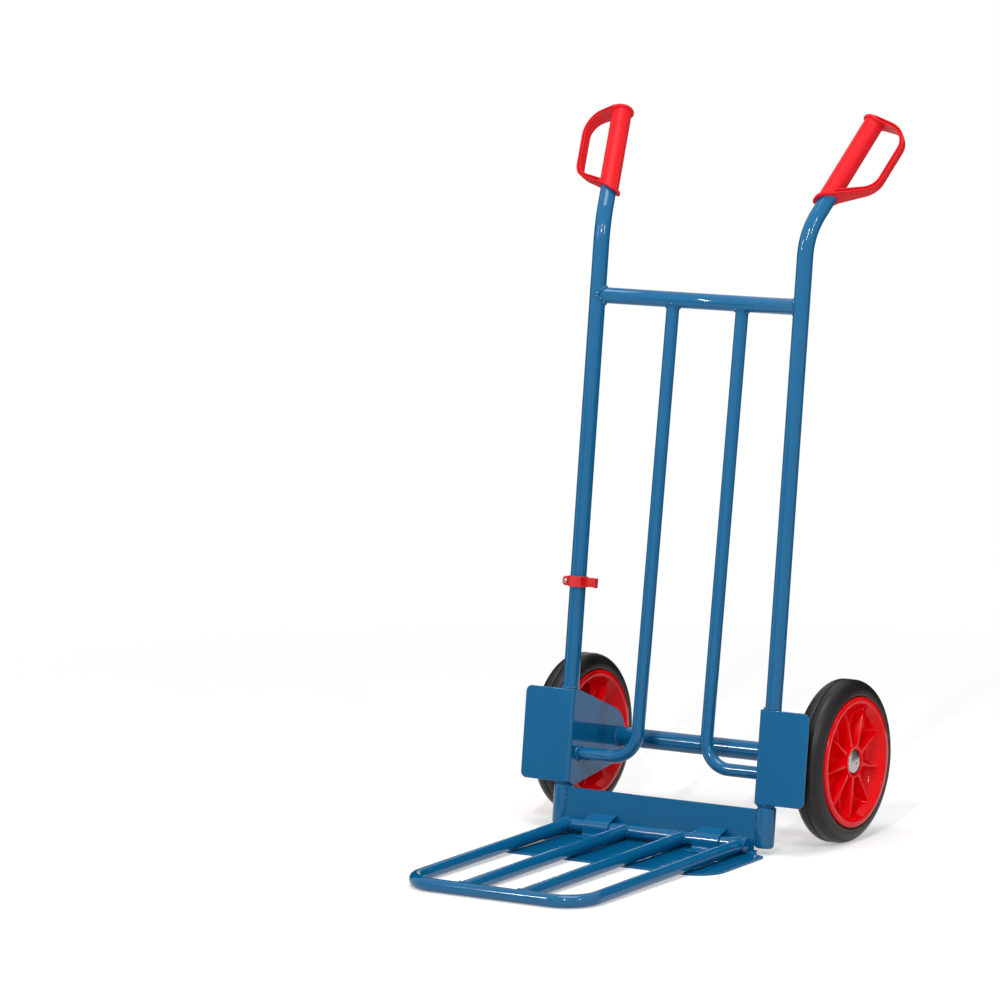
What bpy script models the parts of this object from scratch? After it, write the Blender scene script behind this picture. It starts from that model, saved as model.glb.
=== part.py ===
"""Convertible hand truck: a two-wheeled sack truck with a folding tubular toe extension.

Metres, +Z up, the load side faces -Y. The origin is the middle of the toe plate's underside, on the floor.
"""

import math

import bmesh
import bpy
from mathutils import Matrix, Quaternion, Vector

# Fits
CLEARANCE = 0.0003
CUT_MARGIN = 0.010
ARC_STEPS = 5
BEND_STEPS = 4
EDGE_STEPS = 3
TUBE_SIDES = 12
SMALL_ROUND_STEPS = 16
SMOOTH_ANGLE = math.radians(32)

# Uprights and handles
LEAN = math.radians(7.6)
FOOT_Y = 0.100
UPRIGHT_X = 0.1793
UPRIGHT_RADIUS = 0.0125
UPRIGHT_WALL = 0.002
UPRIGHT_BEND_ALONG = 0.9382
UPRIGHT_BEND_RADIUS = 0.115
HANDLE_BACK = math.radians(31.7)
HANDLE_SPLAY = math.radians(12.06)

# Foot sockets, lengths along the upright
SOCKET_RADIUS = 0.015
SOCKET_BOTTOM = 0.009
SOCKET_TOP = 0.0695
SOCKET_FLOOR = 0.003
SOCKET_ROUND = 0.006
SOCKET_COPE_BELOW = 0.0025

# Grips and their knuckle guards
GRIP_START = 0.0613
GRIP_LENGTH = 0.154
GRIP_RADIUS = 0.0155
GRIP_FLANGE_RADIUS = 0.019
GRIP_FLANGE_DEPTH = 0.0065
GRIP_END_DEPTH = 0.009
GRIP_END_ROUND = 0.0045
GRIP_FOOT_LIFT = 0.001
GRIP_FOOT_SLOPE = math.radians(32.5)
GUARD_REACH = 0.0656
GUARD_THICKNESS = 0.0055
GUARD_WIDTH = 0.017
GUARD_ROOT_WIDTH = 0.029
GUARD_LOWER_ROUND = 0.037
GUARD_UPPER_ROUND = 0.034
GUARD_TURN = math.radians(10)
GUARD_ROOT = 0.0138

# Crossbar and inner bars
CROSSBAR_Z = 0.8193
CROSSBAR_RADIUS = 0.0125
CROSSBAR_WALL = 0.002
CROSSBAR_BOW = 0.0326
CROSSBAR_STEPS = 8
INNER_BAR_X = 0.0609
INNER_BAR_RADIUS = 0.010
INNER_BAR_WALL = 0.0015
INNER_BAR_FOOT_Z = 0.118
INNER_BAR_FOOT_BEHIND = 0.0107
INNER_BAR_BEND_RADIUS = 0.042

# Axle and wheel position
AXLE_Y = 0.249
WHEEL_RADIUS = 0.125
AXLE_RADIUS = 0.010
AXLE_TUBE_RADIUS = 0.015
WHEEL_MID_X = 0.232

# Side plates, in the frame of the leaning upright
PLATE_THICKNESS = 0.003
PLATE_INNER_X = 0.1635
PLATE_BEND_RADIUS = 0.006
WING_OUTER_X = 0.250
WING_BOTTOM = 0.0755
WING_TOP = 0.219
WING_CORNER = 0.010
LEG_NOSE_BEHIND = 0.101
LEG_NOSE_ALONG = 0.1445
LEG_NOSE_RADIUS = 0.046
LEG_TAPER = math.radians(15)

# Toe plate
TOE_THICKNESS = 0.0035
TOE_FRONT_Y = -0.092
TOE_FRONT_HALF = 0.1985
TOE_REAR_HALF = 0.195
TOE_EAR_Y = 0.073
TOE_HEEL_HALF = 0.172
TOE_CORNER = 0.045
TOE_EAR_ROUND = 0.004
TOE_BEND_RADIUS = 0.007
SKIRT_FRONT = 0.0109
SKIRT_TOP_Z = 0.0688

# Folding extension, lying forward of its hinge
HINGE_Y = 0.0771
HINGE_Z = 0.016
EXTENSION_SLOPE = math.radians(0.69)
EXTENSION_LENGTH = 0.4643
EXTENSION_TUBE_RADIUS = 0.010
EXTENSION_WALL = 0.0015
EXTENSION_HALF_WIDTH = 0.1524
EXTENSION_BAR_X = 0.0504
EXTENSION_CORNER = 0.050
HINGE_TUBE_PROUD = 0.0011
HINGE_TUBE_HALF = EXTENSION_HALF_WIDTH + EXTENSION_TUBE_RADIUS + HINGE_TUBE_PROUD
STRAP_INSET = 0.0552
STRAP_X = EXTENSION_HALF_WIDTH - STRAP_INSET
STRAP_WIDTH = 0.045
STRAP_THICKNESS = 0.0025
STRAP_FOOT = 0.024
STRAP_FOOT_BEND = 0.003
STRAP_RISE = math.radians(20)

# Clip for the folded extension, in the frame of the leaning upright
CLIP_ALONG = 0.3844
CLIP_HEIGHT = 0.0165
CLIP_RADIUS = 0.0155
CLIP_FOLD_LEAN = math.radians(2.1)
CLIP_JAW_INNER = 0.0106
CLIP_JAW_THICKNESS = 0.003
CLIP_JAW_REACH = 0.009
CLIP_LIP = 0.005
CLIP_LUG_REACH = 0.023
CLIP_LUG_DEPTH = 0.018
CLIP_LUG_ROUND = 0.006
CLIP_SLIT = 0.002
CLIP_ARM_DEPTH = 0.010
SCREW_OUT = 0.0172
SCREW_RADIUS = 0.002
SCREW_HEAD_RADIUS = 0.0036
SCREW_HEAD_DEPTH = 0.0025
SCREW_CROWN_RADIUS = 0.0028
SCREW_CROWN_HEIGHT = 0.0019
SCREW_HEAD_RIM = 0.0008
NUT_RADIUS = 0.0041
NUT_DEPTH = 0.0032

# Wheels: radius and distance outboard of the wheel's middle plane
TYRE_DEPTH = 0.0253
RIM_HALF_WIDTH = 0.0255
RIM_LIP_RADIUS = WHEEL_RADIUS - TYRE_DEPTH
RIM_LIP_DEPTH = 0.0035
RIM_LIP_WIDTH = 0.0092
RIM_LIP_INNER = RIM_LIP_RADIUS - RIM_LIP_WIDTH
RIM_SEAT_STEP = 0.0037
RIM_SEAT_RADIUS = RIM_LIP_RADIUS - RIM_SEAT_STEP
RIM_SEAT_SLOPE = 0.0012
RIM_WALL_DRAFT = math.radians(33)
RIM_WALL_FILLET = 0.014
RIM_WALL_STEPS = 2
WEB_HALF = 0.0022
WHEEL_STEPS = 28
HUB_OUT = 0.022
HUB_IN = -0.024
HUB_FACE_RADIUS = 0.0245
HUB_ROOT_RADIUS = 0.027
CAP_POCKET_RADIUS = 0.0195
CAP_POCKET_DEPTH = 0.007
RIB_COUNT = 9
RIB_HUB_RADIUS = 0.0222
RIB_RIM_INSET = 0.004
RIB_RIM_RADIUS = RIM_LIP_INNER - RIB_RIM_INSET
RIB_LEVEL_INSET = 0.0265
RIB_LEVEL_RADIUS = RIB_RIM_RADIUS - RIB_LEVEL_INSET
RIB_HEIGHT = 0.020
RIB_FALL = 0.0042
RIB_INSIDE_SHARE = 0.95
RIB_BASE_HALF = 0.008
RIB_BASE_PER_RADIUS = 0.30
RIB_EDGE_HALF = 0.0011
RIB_EDGE_FLARE = 0.003
RIB_TURN = math.radians(-5)
TREAD_HALF = 0.0075
TREAD_GROOVE_HALF = 0.0012
TREAD_GROOVE_DEPTH = 0.0014
SIDEWALL_HALF = 0.024
SIDEWALL_ABOVE_LIP = 0.0043
SIDEWALL_RADIUS = RIM_LIP_RADIUS + SIDEWALL_ABOVE_LIP
SIDEWALL_TUCK = 0.0025
BUSH_RADIUS = 0.014
WASHER_RADIUS = 0.017
WASHER_DEPTH = 0.0015
SPACER_RADIUS = 0.014
CAP_RADIUS = 0.018
CAP_HEIGHT = 0.0075
CAP_STEPS = 4
CAP_SKIRT = 0.002
CAP_BORE_DEPTH = 0.005

BLUE = ("blue_paint", (0.023, 0.127, 0.301), 0.25, 0.0)
RED = ("red_plastic", (0.694, 0.002, 0.006), 0.35, 0.0)
GRIP_RED = ("red_grip_rubber", (0.783, 0.034, 0.045), 0.5, 0.0)
RUBBER = ("black_rubber", (0.024, 0.021, 0.021), 0.7, 0.0)
ZINC = ("zinc_plate", (0.480, 0.503, 0.503), 0.3, 1.0)
STEEL = ("bright_steel", (0.42, 0.42, 0.42), 0.35, 1.0)
NYLON = ("white_nylon", (0.75, 0.74, 0.70), 0.5, 0.0)

for old in list(bpy.data.objects):
    bpy.data.objects.remove(old, do_unlink=True)

parts = bpy.data.collections.new("convertible_hand_truck")
cutters = bpy.data.collections.new("cutters")
cutters.hide_render = True
bpy.context.scene.collection.children.link(parts)
bpy.context.scene.collection.children.link(cutters)

LEAN_FRAME = Matrix.Translation((0, FOOT_Y, 0)) @ Matrix.Rotation(-LEAN, 4, "X")


def material_of(finish):
    name, colour, roughness, metallic = finish
    material = bpy.data.materials.get(name)
    if material is None:
        material = bpy.data.materials.new(name)
        material.use_nodes = True
        shader = material.node_tree.nodes["Principled BSDF"]
        shader.inputs["Base Color"].default_value = (*colour, 1)
        shader.inputs["Roughness"].default_value = roughness
        shader.inputs["Metallic"].default_value = metallic
    return material


def placed(name, mesh, finish, frame=Matrix.Identity(4), parent=None):
    """A node with this mesh, or a cutter when it has no finish."""
    thing = bpy.data.objects.new(name, mesh)
    home = parts if finish else cutters
    home.objects.link(thing)
    thing.parent = parent
    thing.matrix_local = frame
    if finish:
        mesh.materials.clear()
        mesh.materials.append(material_of(finish))
    else:
        thing.hide_render = True
        thing.display_type = "WIRE"
    return thing


def mesh_from(source):
    """The evaluated mesh of an object, its doubled points made one. The object is removed."""
    bpy.context.view_layer.update()
    graph = bpy.context.evaluated_depsgraph_get()
    mesh = bpy.data.meshes.new_from_object(source.evaluated_get(graph))
    bpy.data.objects.remove(source, do_unlink=True)
    shape = bmesh.new()
    shape.from_mesh(mesh)
    bmesh.ops.remove_doubles(shape, verts=shape.verts, dist=1e-6)
    shape.to_mesh(mesh)
    shape.free()
    return mesh


def smooth(mesh):
    mesh.shade_smooth()
    mesh.set_sharp_from_angle(angle=SMOOTH_ANGLE)


def rounded(corners, radii, steps=ARC_STEPS):
    """The corners of a path, each one with a radius replaced by points on an arc."""
    path = []
    for i, (corner, radius) in enumerate(zip(corners, radii)):
        if not radius:
            path.append(corner)
            continue
        before = (corners[i - 1] - corner).normalized()
        after = (corners[(i + 1) % len(corners)] - corner).normalized()
        half = before.angle(after) / 2
        centre = corner + (before + after).normalized() * radius / math.sin(half)
        first = (corner + before * radius / math.tan(half) - centre).normalized()
        last = (corner + after * radius / math.tan(half) - centre).normalized()
        for k in range(steps + 1):
            path.append(centre + first.slerp(last, k / steps) * radius)
    return path


def tube(name, path, radius, wall, finish, frame=Matrix.Identity(4), parent=None):
    """A round tube along the path, or a solid bar when it has no wall."""
    curve = bpy.data.curves.new(name, "CURVE")
    curve.dimensions = "3D"
    curve.bevel_depth = radius
    curve.bevel_resolution = TUBE_SIDES // 2 - 2
    curve.use_fill_caps = wall is None
    spline = curve.splines.new("POLY")
    spline.points.add(len(path) - 1)
    for point, place in zip(spline.points, path):
        point.co = (*place, 1)
    drawn = bpy.data.objects.new(name + "_path", curve)
    cutters.objects.link(drawn)
    mesh = mesh_from(drawn)
    smooth(mesh)
    thing = placed(name, mesh, finish, frame, parent)
    if wall is not None:
        shell = thing.modifiers.new("wall", "SOLIDIFY")
        shell.thickness = wall
        shell.offset = -1
    return thing


def flat(name, outline, thickness, finish, frame=Matrix.Identity(4), parent=None):
    """A plate of this outline in its local XY, half its thickness each side of the plane."""
    curve = bpy.data.curves.new(name, "CURVE")
    curve.dimensions = "2D"
    curve.fill_mode = "BOTH"
    curve.extrude = thickness / 2
    spline = curve.splines.new("POLY")
    spline.points.add(len(outline) - 1)
    for point, place in zip(spline.points, outline):
        point.co = (place[0], place[1], 0, 1)
    spline.use_cyclic_u = True
    drawn = bpy.data.objects.new(name + "_outline", curve)
    cutters.objects.link(drawn)
    mesh = mesh_from(drawn)
    smooth(mesh)
    return placed(name, mesh, finish, frame, parent)


def turned(name, profile, steps, finish, frame=Matrix.Identity(4), closed=True, parent=None):
    """A solid turned about local Z from points of radius and height. Its outer side runs from top to bottom."""
    mesh = bpy.data.meshes.new(name)
    shape = bmesh.new()
    points = [shape.verts.new((radius, 0, height)) for radius, height in profile]
    for first, second in zip(points, points[1:]):
        shape.edges.new((first, second))
    if closed:
        shape.edges.new((points[-1], points[0]))
    shape.to_mesh(mesh)
    shape.free()
    thing = placed(name, mesh, finish, frame, parent)
    turn = thing.modifiers.new("turn", "SCREW")
    turn.axis = "Z"
    turn.steps = steps
    turn.render_steps = steps
    turn.use_merge_vertices = True
    turn.merge_threshold = 0.00001
    turn.use_smooth_shade = True
    return thing


def ring(name, outer, inner, low, high, finish, frame):
    profile = ((outer, high), (outer, low), (inner, low), (inner, high))
    return turned(name, profile, SMALL_ROUND_STEPS, finish, frame)


def block(name, size, frame):
    """A cutter or an added block, centred in its frame."""
    mesh = bpy.data.meshes.new(name)
    shape = bmesh.new()
    bmesh.ops.create_cube(shape, size=1)
    bmesh.ops.scale(shape, vec=size, verts=shape.verts)
    shape.to_mesh(mesh)
    shape.free()
    return placed(name, mesh, None, frame)


def cylinder(name, radius, length, frame, finish=None, parent=None, sides=SMALL_ROUND_STEPS):
    """A cylinder from local z = 0 up to its length."""
    mesh = bpy.data.meshes.new(name)
    shape = bmesh.new()
    bmesh.ops.create_cone(shape, cap_ends=True, segments=sides, radius1=radius, radius2=radius, depth=length)
    bmesh.ops.translate(shape, vec=(0, 0, length / 2), verts=shape.verts)
    shape.to_mesh(mesh)
    shape.free()
    smooth(mesh)
    return placed(name, mesh, finish, frame, parent)


def combine(thing, other, operation):
    change = thing.modifiers.new(other.name, "BOOLEAN")
    change.solver = "EXACT"
    change.operation = operation
    change.object = other


def round_edges(thing, radius, chosen):
    """Applies the node's modifiers, then rounds the edges picked by the test on their two ends."""
    bpy.context.view_layer.update()
    graph = bpy.context.evaluated_depsgraph_get()
    mesh = bpy.data.meshes.new_from_object(thing.evaluated_get(graph))
    thing.modifiers.clear()
    thing.data = mesh
    shape = bmesh.new()
    shape.from_mesh(mesh)
    edges = [edge for edge in shape.edges if chosen(edge.verts[0].co, edge.verts[1].co)]
    bmesh.ops.bevel(shape, geom=edges, offset=radius, segments=ARC_STEPS, profile=0.5, affect="EDGES")
    shape.to_mesh(mesh)
    shape.free()
    smooth(mesh)


def side_name(side):
    return "right" if side > 0 else "left"


def on_upright(side, along):
    """Frame on the upright's axis, its Z along the upright and its Y straight back."""
    return LEAN_FRAME @ Matrix.Translation((side * UPRIGHT_X, 0, along))


def axes(side_vector, front_vector, up_vector, origin):
    """Frame from its three axes and its origin."""
    columns = (side_vector, front_vector, up_vector)
    frame = Matrix.Identity(4)
    for k, column in enumerate(columns):
        for row in range(3):
            frame[row][k] = column[row]
    frame.translation = origin
    return frame


def across_x(x, origin_y=0.0, origin_z=0.0):
    """Frame whose local XY is the world's YZ plane at this x."""
    return axes((0, 1, 0), (0, 0, 1), (1, 0, 0), (x, origin_y, origin_z))


def handle_frame(side):
    """Frame at the start of the grip: Z along the handle, X towards the knuckle guard."""
    direction = Vector((math.sin(HANDLE_SPLAY), 0, math.cos(HANDLE_SPLAY)))
    direction = Matrix.Rotation(-HANDLE_BACK - LEAN, 3, "X") @ direction
    outwards = (Vector((1, 0, 0)) - direction * direction.x).normalized()
    outwards = Quaternion(direction, GUARD_TURN) @ outwards
    direction.x *= side
    outwards.x *= side
    bend = LEAN_FRAME @ Vector((side * UPRIGHT_X, 0, UPRIGHT_BEND_ALONG))
    return axes(outwards, direction.cross(outwards), direction, bend + direction * GRIP_START)


def make_upright(side):
    handle = handle_frame(side)
    foot = LEAN_FRAME @ Vector((side * UPRIGHT_X, 0, SOCKET_BOTTOM + SOCKET_FLOOR + CLEARANCE))
    bend = LEAN_FRAME @ Vector((side * UPRIGHT_X, 0, UPRIGHT_BEND_ALONG))
    end = handle @ Vector((0, 0, GRIP_LENGTH - GRIP_END_DEPTH - CLEARANCE))
    path = rounded((foot, bend, end), (0, UPRIGHT_BEND_RADIUS, 0))
    tube(side_name(side) + "_upright", path, UPRIGHT_RADIUS, UPRIGHT_WALL, BLUE)


def make_socket(side):
    bore = UPRIGHT_RADIUS + CLEARANCE
    base = SOCKET_BOTTOM
    low = [Vector((SOCKET_RADIUS, SOCKET_TOP)), Vector((SOCKET_RADIUS, base)), Vector((0, base))]
    profile = rounded(low, (0, SOCKET_ROUND, 0), BEND_STEPS)
    profile += [Vector((0, base + SOCKET_FLOOR)), Vector((bore, base + SOCKET_FLOOR)), Vector((bore, SOCKET_TOP))]
    turned(side_name(side) + "_foot_socket", profile, SMALL_ROUND_STEPS, BLUE, on_upright(side, 0))


def make_grip(side):
    frame = handle_frame(side)
    bore = UPRIGHT_RADIUS + CLEARANCE
    top = GRIP_LENGTH
    head = rounded(
        (Vector((0, top)), Vector((GRIP_FLANGE_RADIUS, top)), Vector((GRIP_FLANGE_RADIUS, top - GRIP_FLANGE_DEPTH))),
        (0, GRIP_END_ROUND, 0),
        EDGE_STEPS,
    )
    profile = head + [
        Vector((GRIP_RADIUS, top - GRIP_FLANGE_DEPTH)),
        Vector((GRIP_RADIUS, GRIP_FLANGE_DEPTH)),
        Vector((GRIP_FLANGE_RADIUS, GRIP_FLANGE_DEPTH)),
        Vector((GRIP_FLANGE_RADIUS, 0)),
        Vector((bore, 0)),
        Vector((bore, top - GRIP_END_DEPTH)),
        Vector((0, top - GRIP_END_DEPTH)),
    ]
    name = side_name(side)
    sleeve = mesh_from(turned(name + "_grip_sleeve", profile, SMALL_ROUND_STEPS + 2, None))
    slope = math.tan(GRIP_FOOT_SLOPE)
    for point in sleeve.vertices:
        if point.co.z < GRIP_FLANGE_DEPTH + CLEARANCE:
            point.co.z += GRIP_FOOT_LIFT + slope * point.co.x
    grip = placed(name + "_grip", sleeve, GRIP_RED, frame)
    inset = (GRIP_FLANGE_DEPTH - GUARD_THICKNESS) / 2
    inner_reach = GUARD_REACH - GUARD_THICKNESS
    low = GRIP_FOOT_LIFT + inset
    inner_low = low + GUARD_THICKNESS / math.cos(GRIP_FOOT_SLOPE)
    high = top - inset
    outer = rounded(
        (
            Vector((GUARD_ROOT, low + slope * GUARD_ROOT)),
            Vector((GUARD_REACH, low + slope * GUARD_REACH)),
            Vector((GUARD_REACH, high)),
            Vector((GUARD_ROOT, high)),
        ),
        (0, GUARD_LOWER_ROUND, GUARD_UPPER_ROUND, 0),
    )
    inner = rounded(
        (
            Vector((GUARD_ROOT, high - GUARD_THICKNESS)),
            Vector((inner_reach, high - GUARD_THICKNESS)),
            Vector((inner_reach, inner_low + slope * inner_reach)),
            Vector((GUARD_ROOT, inner_low + slope * GUARD_ROOT)),
        ),
        (0, GUARD_UPPER_ROUND - GUARD_THICKNESS, GUARD_LOWER_ROUND - GUARD_THICKNESS, 0),
    )
    upright_plane = frame @ Matrix.Rotation(math.pi / 2, 4, "X")
    guard = flat(name + "_guard", outer + inner, GUARD_WIDTH, None, upright_plane)
    for point in guard.data.vertices:
        share = (GUARD_REACH - point.co.x) / (GUARD_REACH - GUARD_ROOT)
        point.co.z *= 1 + share * (GUARD_ROOT_WIDTH / GUARD_WIDTH - 1)
    combine(grip, guard, "UNION")


def bow_radius():
    return (UPRIGHT_X**2 + CROSSBAR_BOW**2) / (2 * CROSSBAR_BOW)


def bow_at(x):
    """How far the crossbar's axis lies behind its two ends at this x, square to the uprights."""
    return CROSSBAR_BOW - bow_radius() + math.sqrt(bow_radius() ** 2 - x**2)


def on_crossbar(x):
    """The point at this x on the bowed axis of the crossbar."""
    return LEAN_FRAME @ Vector((x, bow_at(x), CROSSBAR_Z / math.cos(LEAN)))


def crossbar_path():
    """Points on the bowed axis of the crossbar, between the axes of the uprights."""
    half_angle = math.asin(UPRIGHT_X / bow_radius())
    path = []
    for k in range(CROSSBAR_STEPS + 1):
        path.append(on_crossbar(bow_radius() * math.sin(half_angle * (2 * k / CROSSBAR_STEPS - 1))))
    return path


def make_crossbar_and_bars():
    path = crossbar_path()
    crossbar = tube("crossbar", path, CROSSBAR_RADIUS, CROSSBAR_WALL, BLUE)
    saddle = tube("crossbar_saddle", path, CROSSBAR_RADIUS + CLEARANCE, None, None)
    for side in (1, -1):
        name = side_name(side)
        length = 2 * (CROSSBAR_RADIUS + CUT_MARGIN)
        start = CROSSBAR_Z / math.cos(LEAN) - length / 2
        cope = cylinder(name + "_crossbar_cope", UPRIGHT_RADIUS + CLEARANCE, length, on_upright(side, start))
        combine(crossbar, cope, "DIFFERENCE")
        top = on_crossbar(side * INNER_BAR_X)
        foot_y = FOOT_Y + INNER_BAR_FOOT_Z * math.tan(LEAN) + INNER_BAR_FOOT_BEHIND
        corner = Vector((side * INNER_BAR_X, foot_y, INNER_BAR_FOOT_Z))
        end = Vector((side * (PLATE_INNER_X - CLEARANCE), foot_y, INNER_BAR_FOOT_Z))
        bar_path = rounded((top, corner, end), (0, INNER_BAR_BEND_RADIUS, 0))
        bar = tube(name + "_inner_bar", bar_path, INNER_BAR_RADIUS, INNER_BAR_WALL, BLUE)
        combine(bar, saddle, "DIFFERENCE")


def make_side_plate(side):
    """A sheet bent to an L: the wing in front of the wheel, and the leg that tapers back to a round nose."""
    bend_x = PLATE_INNER_X + PLATE_BEND_RADIUS
    wing_front = -UPRIGHT_RADIUS - CLEARANCE - PLATE_THICKNESS
    leg_end = LEG_NOSE_BEHIND + LEG_NOSE_RADIUS + CUT_MARGIN
    outer = rounded(
        (
            Vector((WING_OUTER_X, wing_front)),
            Vector((PLATE_INNER_X, wing_front)),
            Vector((PLATE_INNER_X, leg_end)),
        ),
        (0, PLATE_BEND_RADIUS, 0),
        BEND_STEPS,
    )
    inner = rounded(
        (
            Vector((PLATE_INNER_X + PLATE_THICKNESS, leg_end)),
            Vector((PLATE_INNER_X + PLATE_THICKNESS, wing_front + PLATE_THICKNESS)),
            Vector((WING_OUTER_X, wing_front + PLATE_THICKNESS)),
        ),
        (0, PLATE_BEND_RADIUS - PLATE_THICKNESS, 0),
        BEND_STEPS,
    )
    section = [Vector((side * x, y)) for x, y in outer + inner]
    length = WING_TOP - WING_BOTTOM + 4 * CUT_MARGIN
    frame = LEAN_FRAME @ Matrix.Translation((0, 0, (WING_TOP + WING_BOTTOM) / 2))
    name = side_name(side) + "_side_plate"
    plate = flat(name, section, length, BLUE, frame)

    half_front = LEG_NOSE_RADIUS / math.cos(LEG_TAPER) + LEG_NOSE_BEHIND * math.tan(LEG_TAPER)
    ahead = wing_front - CUT_MARGIN
    relief = wing_front + PLATE_BEND_RADIUS
    blank = [
        Vector((ahead, WING_BOTTOM)),
        Vector((relief, WING_BOTTOM)),
        Vector((0, LEG_NOSE_ALONG - half_front)),
    ]
    arc = math.pi / 2 - LEG_TAPER
    nose_steps = 4 * ARC_STEPS
    for k in range(nose_steps + 1):
        angle = arc * (2 * k / nose_steps - 1)
        behind = LEG_NOSE_BEHIND + LEG_NOSE_RADIUS * math.cos(angle)
        blank.append(Vector((behind, LEG_NOSE_ALONG + LEG_NOSE_RADIUS * math.sin(angle))))
    blank += [Vector((0, WING_TOP)), Vector((ahead, WING_TOP))]
    middle_x = side * (PLATE_INNER_X + WING_OUTER_X) / 2
    across = LEAN_FRAME @ across_x(middle_x)
    width = WING_OUTER_X - PLATE_INNER_X + 2 * CUT_MARGIN
    combine(plate, flat(name + "_blank", blank, width, None, across), "INTERSECT")
    hole = across_x(middle_x - width / 2, AXLE_Y, WHEEL_RADIUS)
    combine(plate, cylinder(name + "_axle_hole", AXLE_RADIUS + CLEARANCE, width, hole), "DIFFERENCE")
    edge = WING_OUTER_X - CLEARANCE
    round_edges(
        plate,
        WING_CORNER,
        lambda a, b: abs(a.x) > edge and abs(b.x) > edge and abs(a.z - b.z) < CLEARANCE,
    )


def make_toe_plate():
    """Blade and skirt bent from one sheet, the skirt leaning with the uprights and coped round the sockets."""
    tilt = math.tan(LEAN)
    front_at_floor = FOOT_Y - SKIRT_FRONT / math.cos(LEAN)
    step = TOE_THICKNESS / math.cos(LEAN)
    heel = front_at_floor + step
    outer = rounded(
        (
            Vector((TOE_FRONT_Y - CUT_MARGIN, 0)),
            Vector((heel, 0)),
            Vector((heel + SKIRT_TOP_Z * tilt, SKIRT_TOP_Z)),
        ),
        (0, TOE_BEND_RADIUS, 0),
        BEND_STEPS,
    )
    inner_corner = Vector((front_at_floor + TOE_THICKNESS * tilt, TOE_THICKNESS))
    inner = rounded(
        (
            Vector((front_at_floor + SKIRT_TOP_Z * tilt, SKIRT_TOP_Z)),
            inner_corner,
            Vector((TOE_FRONT_Y - CUT_MARGIN, TOE_THICKNESS)),
        ),
        (0, TOE_BEND_RADIUS - TOE_THICKNESS, 0),
        BEND_STEPS,
    )
    width = 2 * (TOE_FRONT_HALF + CUT_MARGIN)
    toe = flat("toe_plate", outer + inner, width, BLUE, across_x(0))
    rear = FOOT_Y + SKIRT_TOP_Z
    right = [
        Vector((TOE_FRONT_HALF, TOE_FRONT_Y)),
        Vector((TOE_REAR_HALF, TOE_EAR_Y)),
        Vector((TOE_HEEL_HALF, FOOT_Y - SOCKET_RADIUS)),
        Vector((TOE_HEEL_HALF, rear)),
    ]
    left = [Vector((-x, y)) for x, y in reversed(right)]
    rounds = (TOE_CORNER, TOE_EAR_ROUND, 0, 0)
    outline = rounded(right + left, rounds + rounds[::-1], ARC_STEPS + EDGE_STEPS)
    depth = SKIRT_TOP_Z + 2 * CUT_MARGIN
    blank = flat("toe_blank", outline, depth, None, Matrix.Translation((0, 0, depth / 2 - CUT_MARGIN)))
    combine(toe, blank, "INTERSECT")
    for side in (1, -1):
        start = SOCKET_BOTTOM - SOCKET_COPE_BELOW
        cope = cylinder(
            side_name(side) + "_socket_cope",
            SOCKET_RADIUS + CLEARANCE,
            SOCKET_TOP + CUT_MARGIN,
            on_upright(side, start),
        )
        combine(toe, cope, "DIFFERENCE")


def make_strap(side):
    """A sheet saddle: welded to the skirt, down over the hinge tube and welded to the blade in front of it."""
    middle = EXTENSION_TUBE_RADIUS + CLEARANCE + STRAP_THICKNESS / 2
    floor = TOE_THICKNESS + CLEARANCE + STRAP_THICKNESS / 2
    top = Vector((-math.sin(STRAP_RISE), math.cos(STRAP_RISE))) * middle
    along = Vector((math.cos(STRAP_RISE), math.sin(STRAP_RISE)))
    skirt_y = FOOT_Y - SKIRT_FRONT / math.cos(LEAN) - HINGE_Y
    reach = (skirt_y + (HINGE_Z + top.y) * math.tan(LEAN) - top.x) / (along.x - along.y * math.tan(LEAN))
    tail = top + along * (reach - STRAP_THICKNESS / 2)
    shoulder = top - along * (middle + top.x) / along.x
    heel = Vector((-middle, floor - HINGE_Z))
    foot = heel - Vector((STRAP_FOOT, 0))
    corners = (tail, shoulder, heel, foot)
    centre_line = rounded(corners, (0, middle, STRAP_FOOT_BEND, 0), ARC_STEPS + 1)
    upper, lower = [], []
    for k, point in enumerate(centre_line):
        ahead = centre_line[min(k + 1, len(centre_line) - 1)]
        behind = centre_line[max(k - 1, 0)]
        run = (ahead - behind).normalized()
        offset = Vector((-run.y, run.x)) * STRAP_THICKNESS / 2
        upper.append(point + offset)
        lower.append(point - offset)
    frame = across_x(side * STRAP_X, HINGE_Y, HINGE_Z)
    flat(side_name(side) + "_hinge_strap", upper + lower[::-1], STRAP_WIDTH, BLUE, frame)


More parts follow.
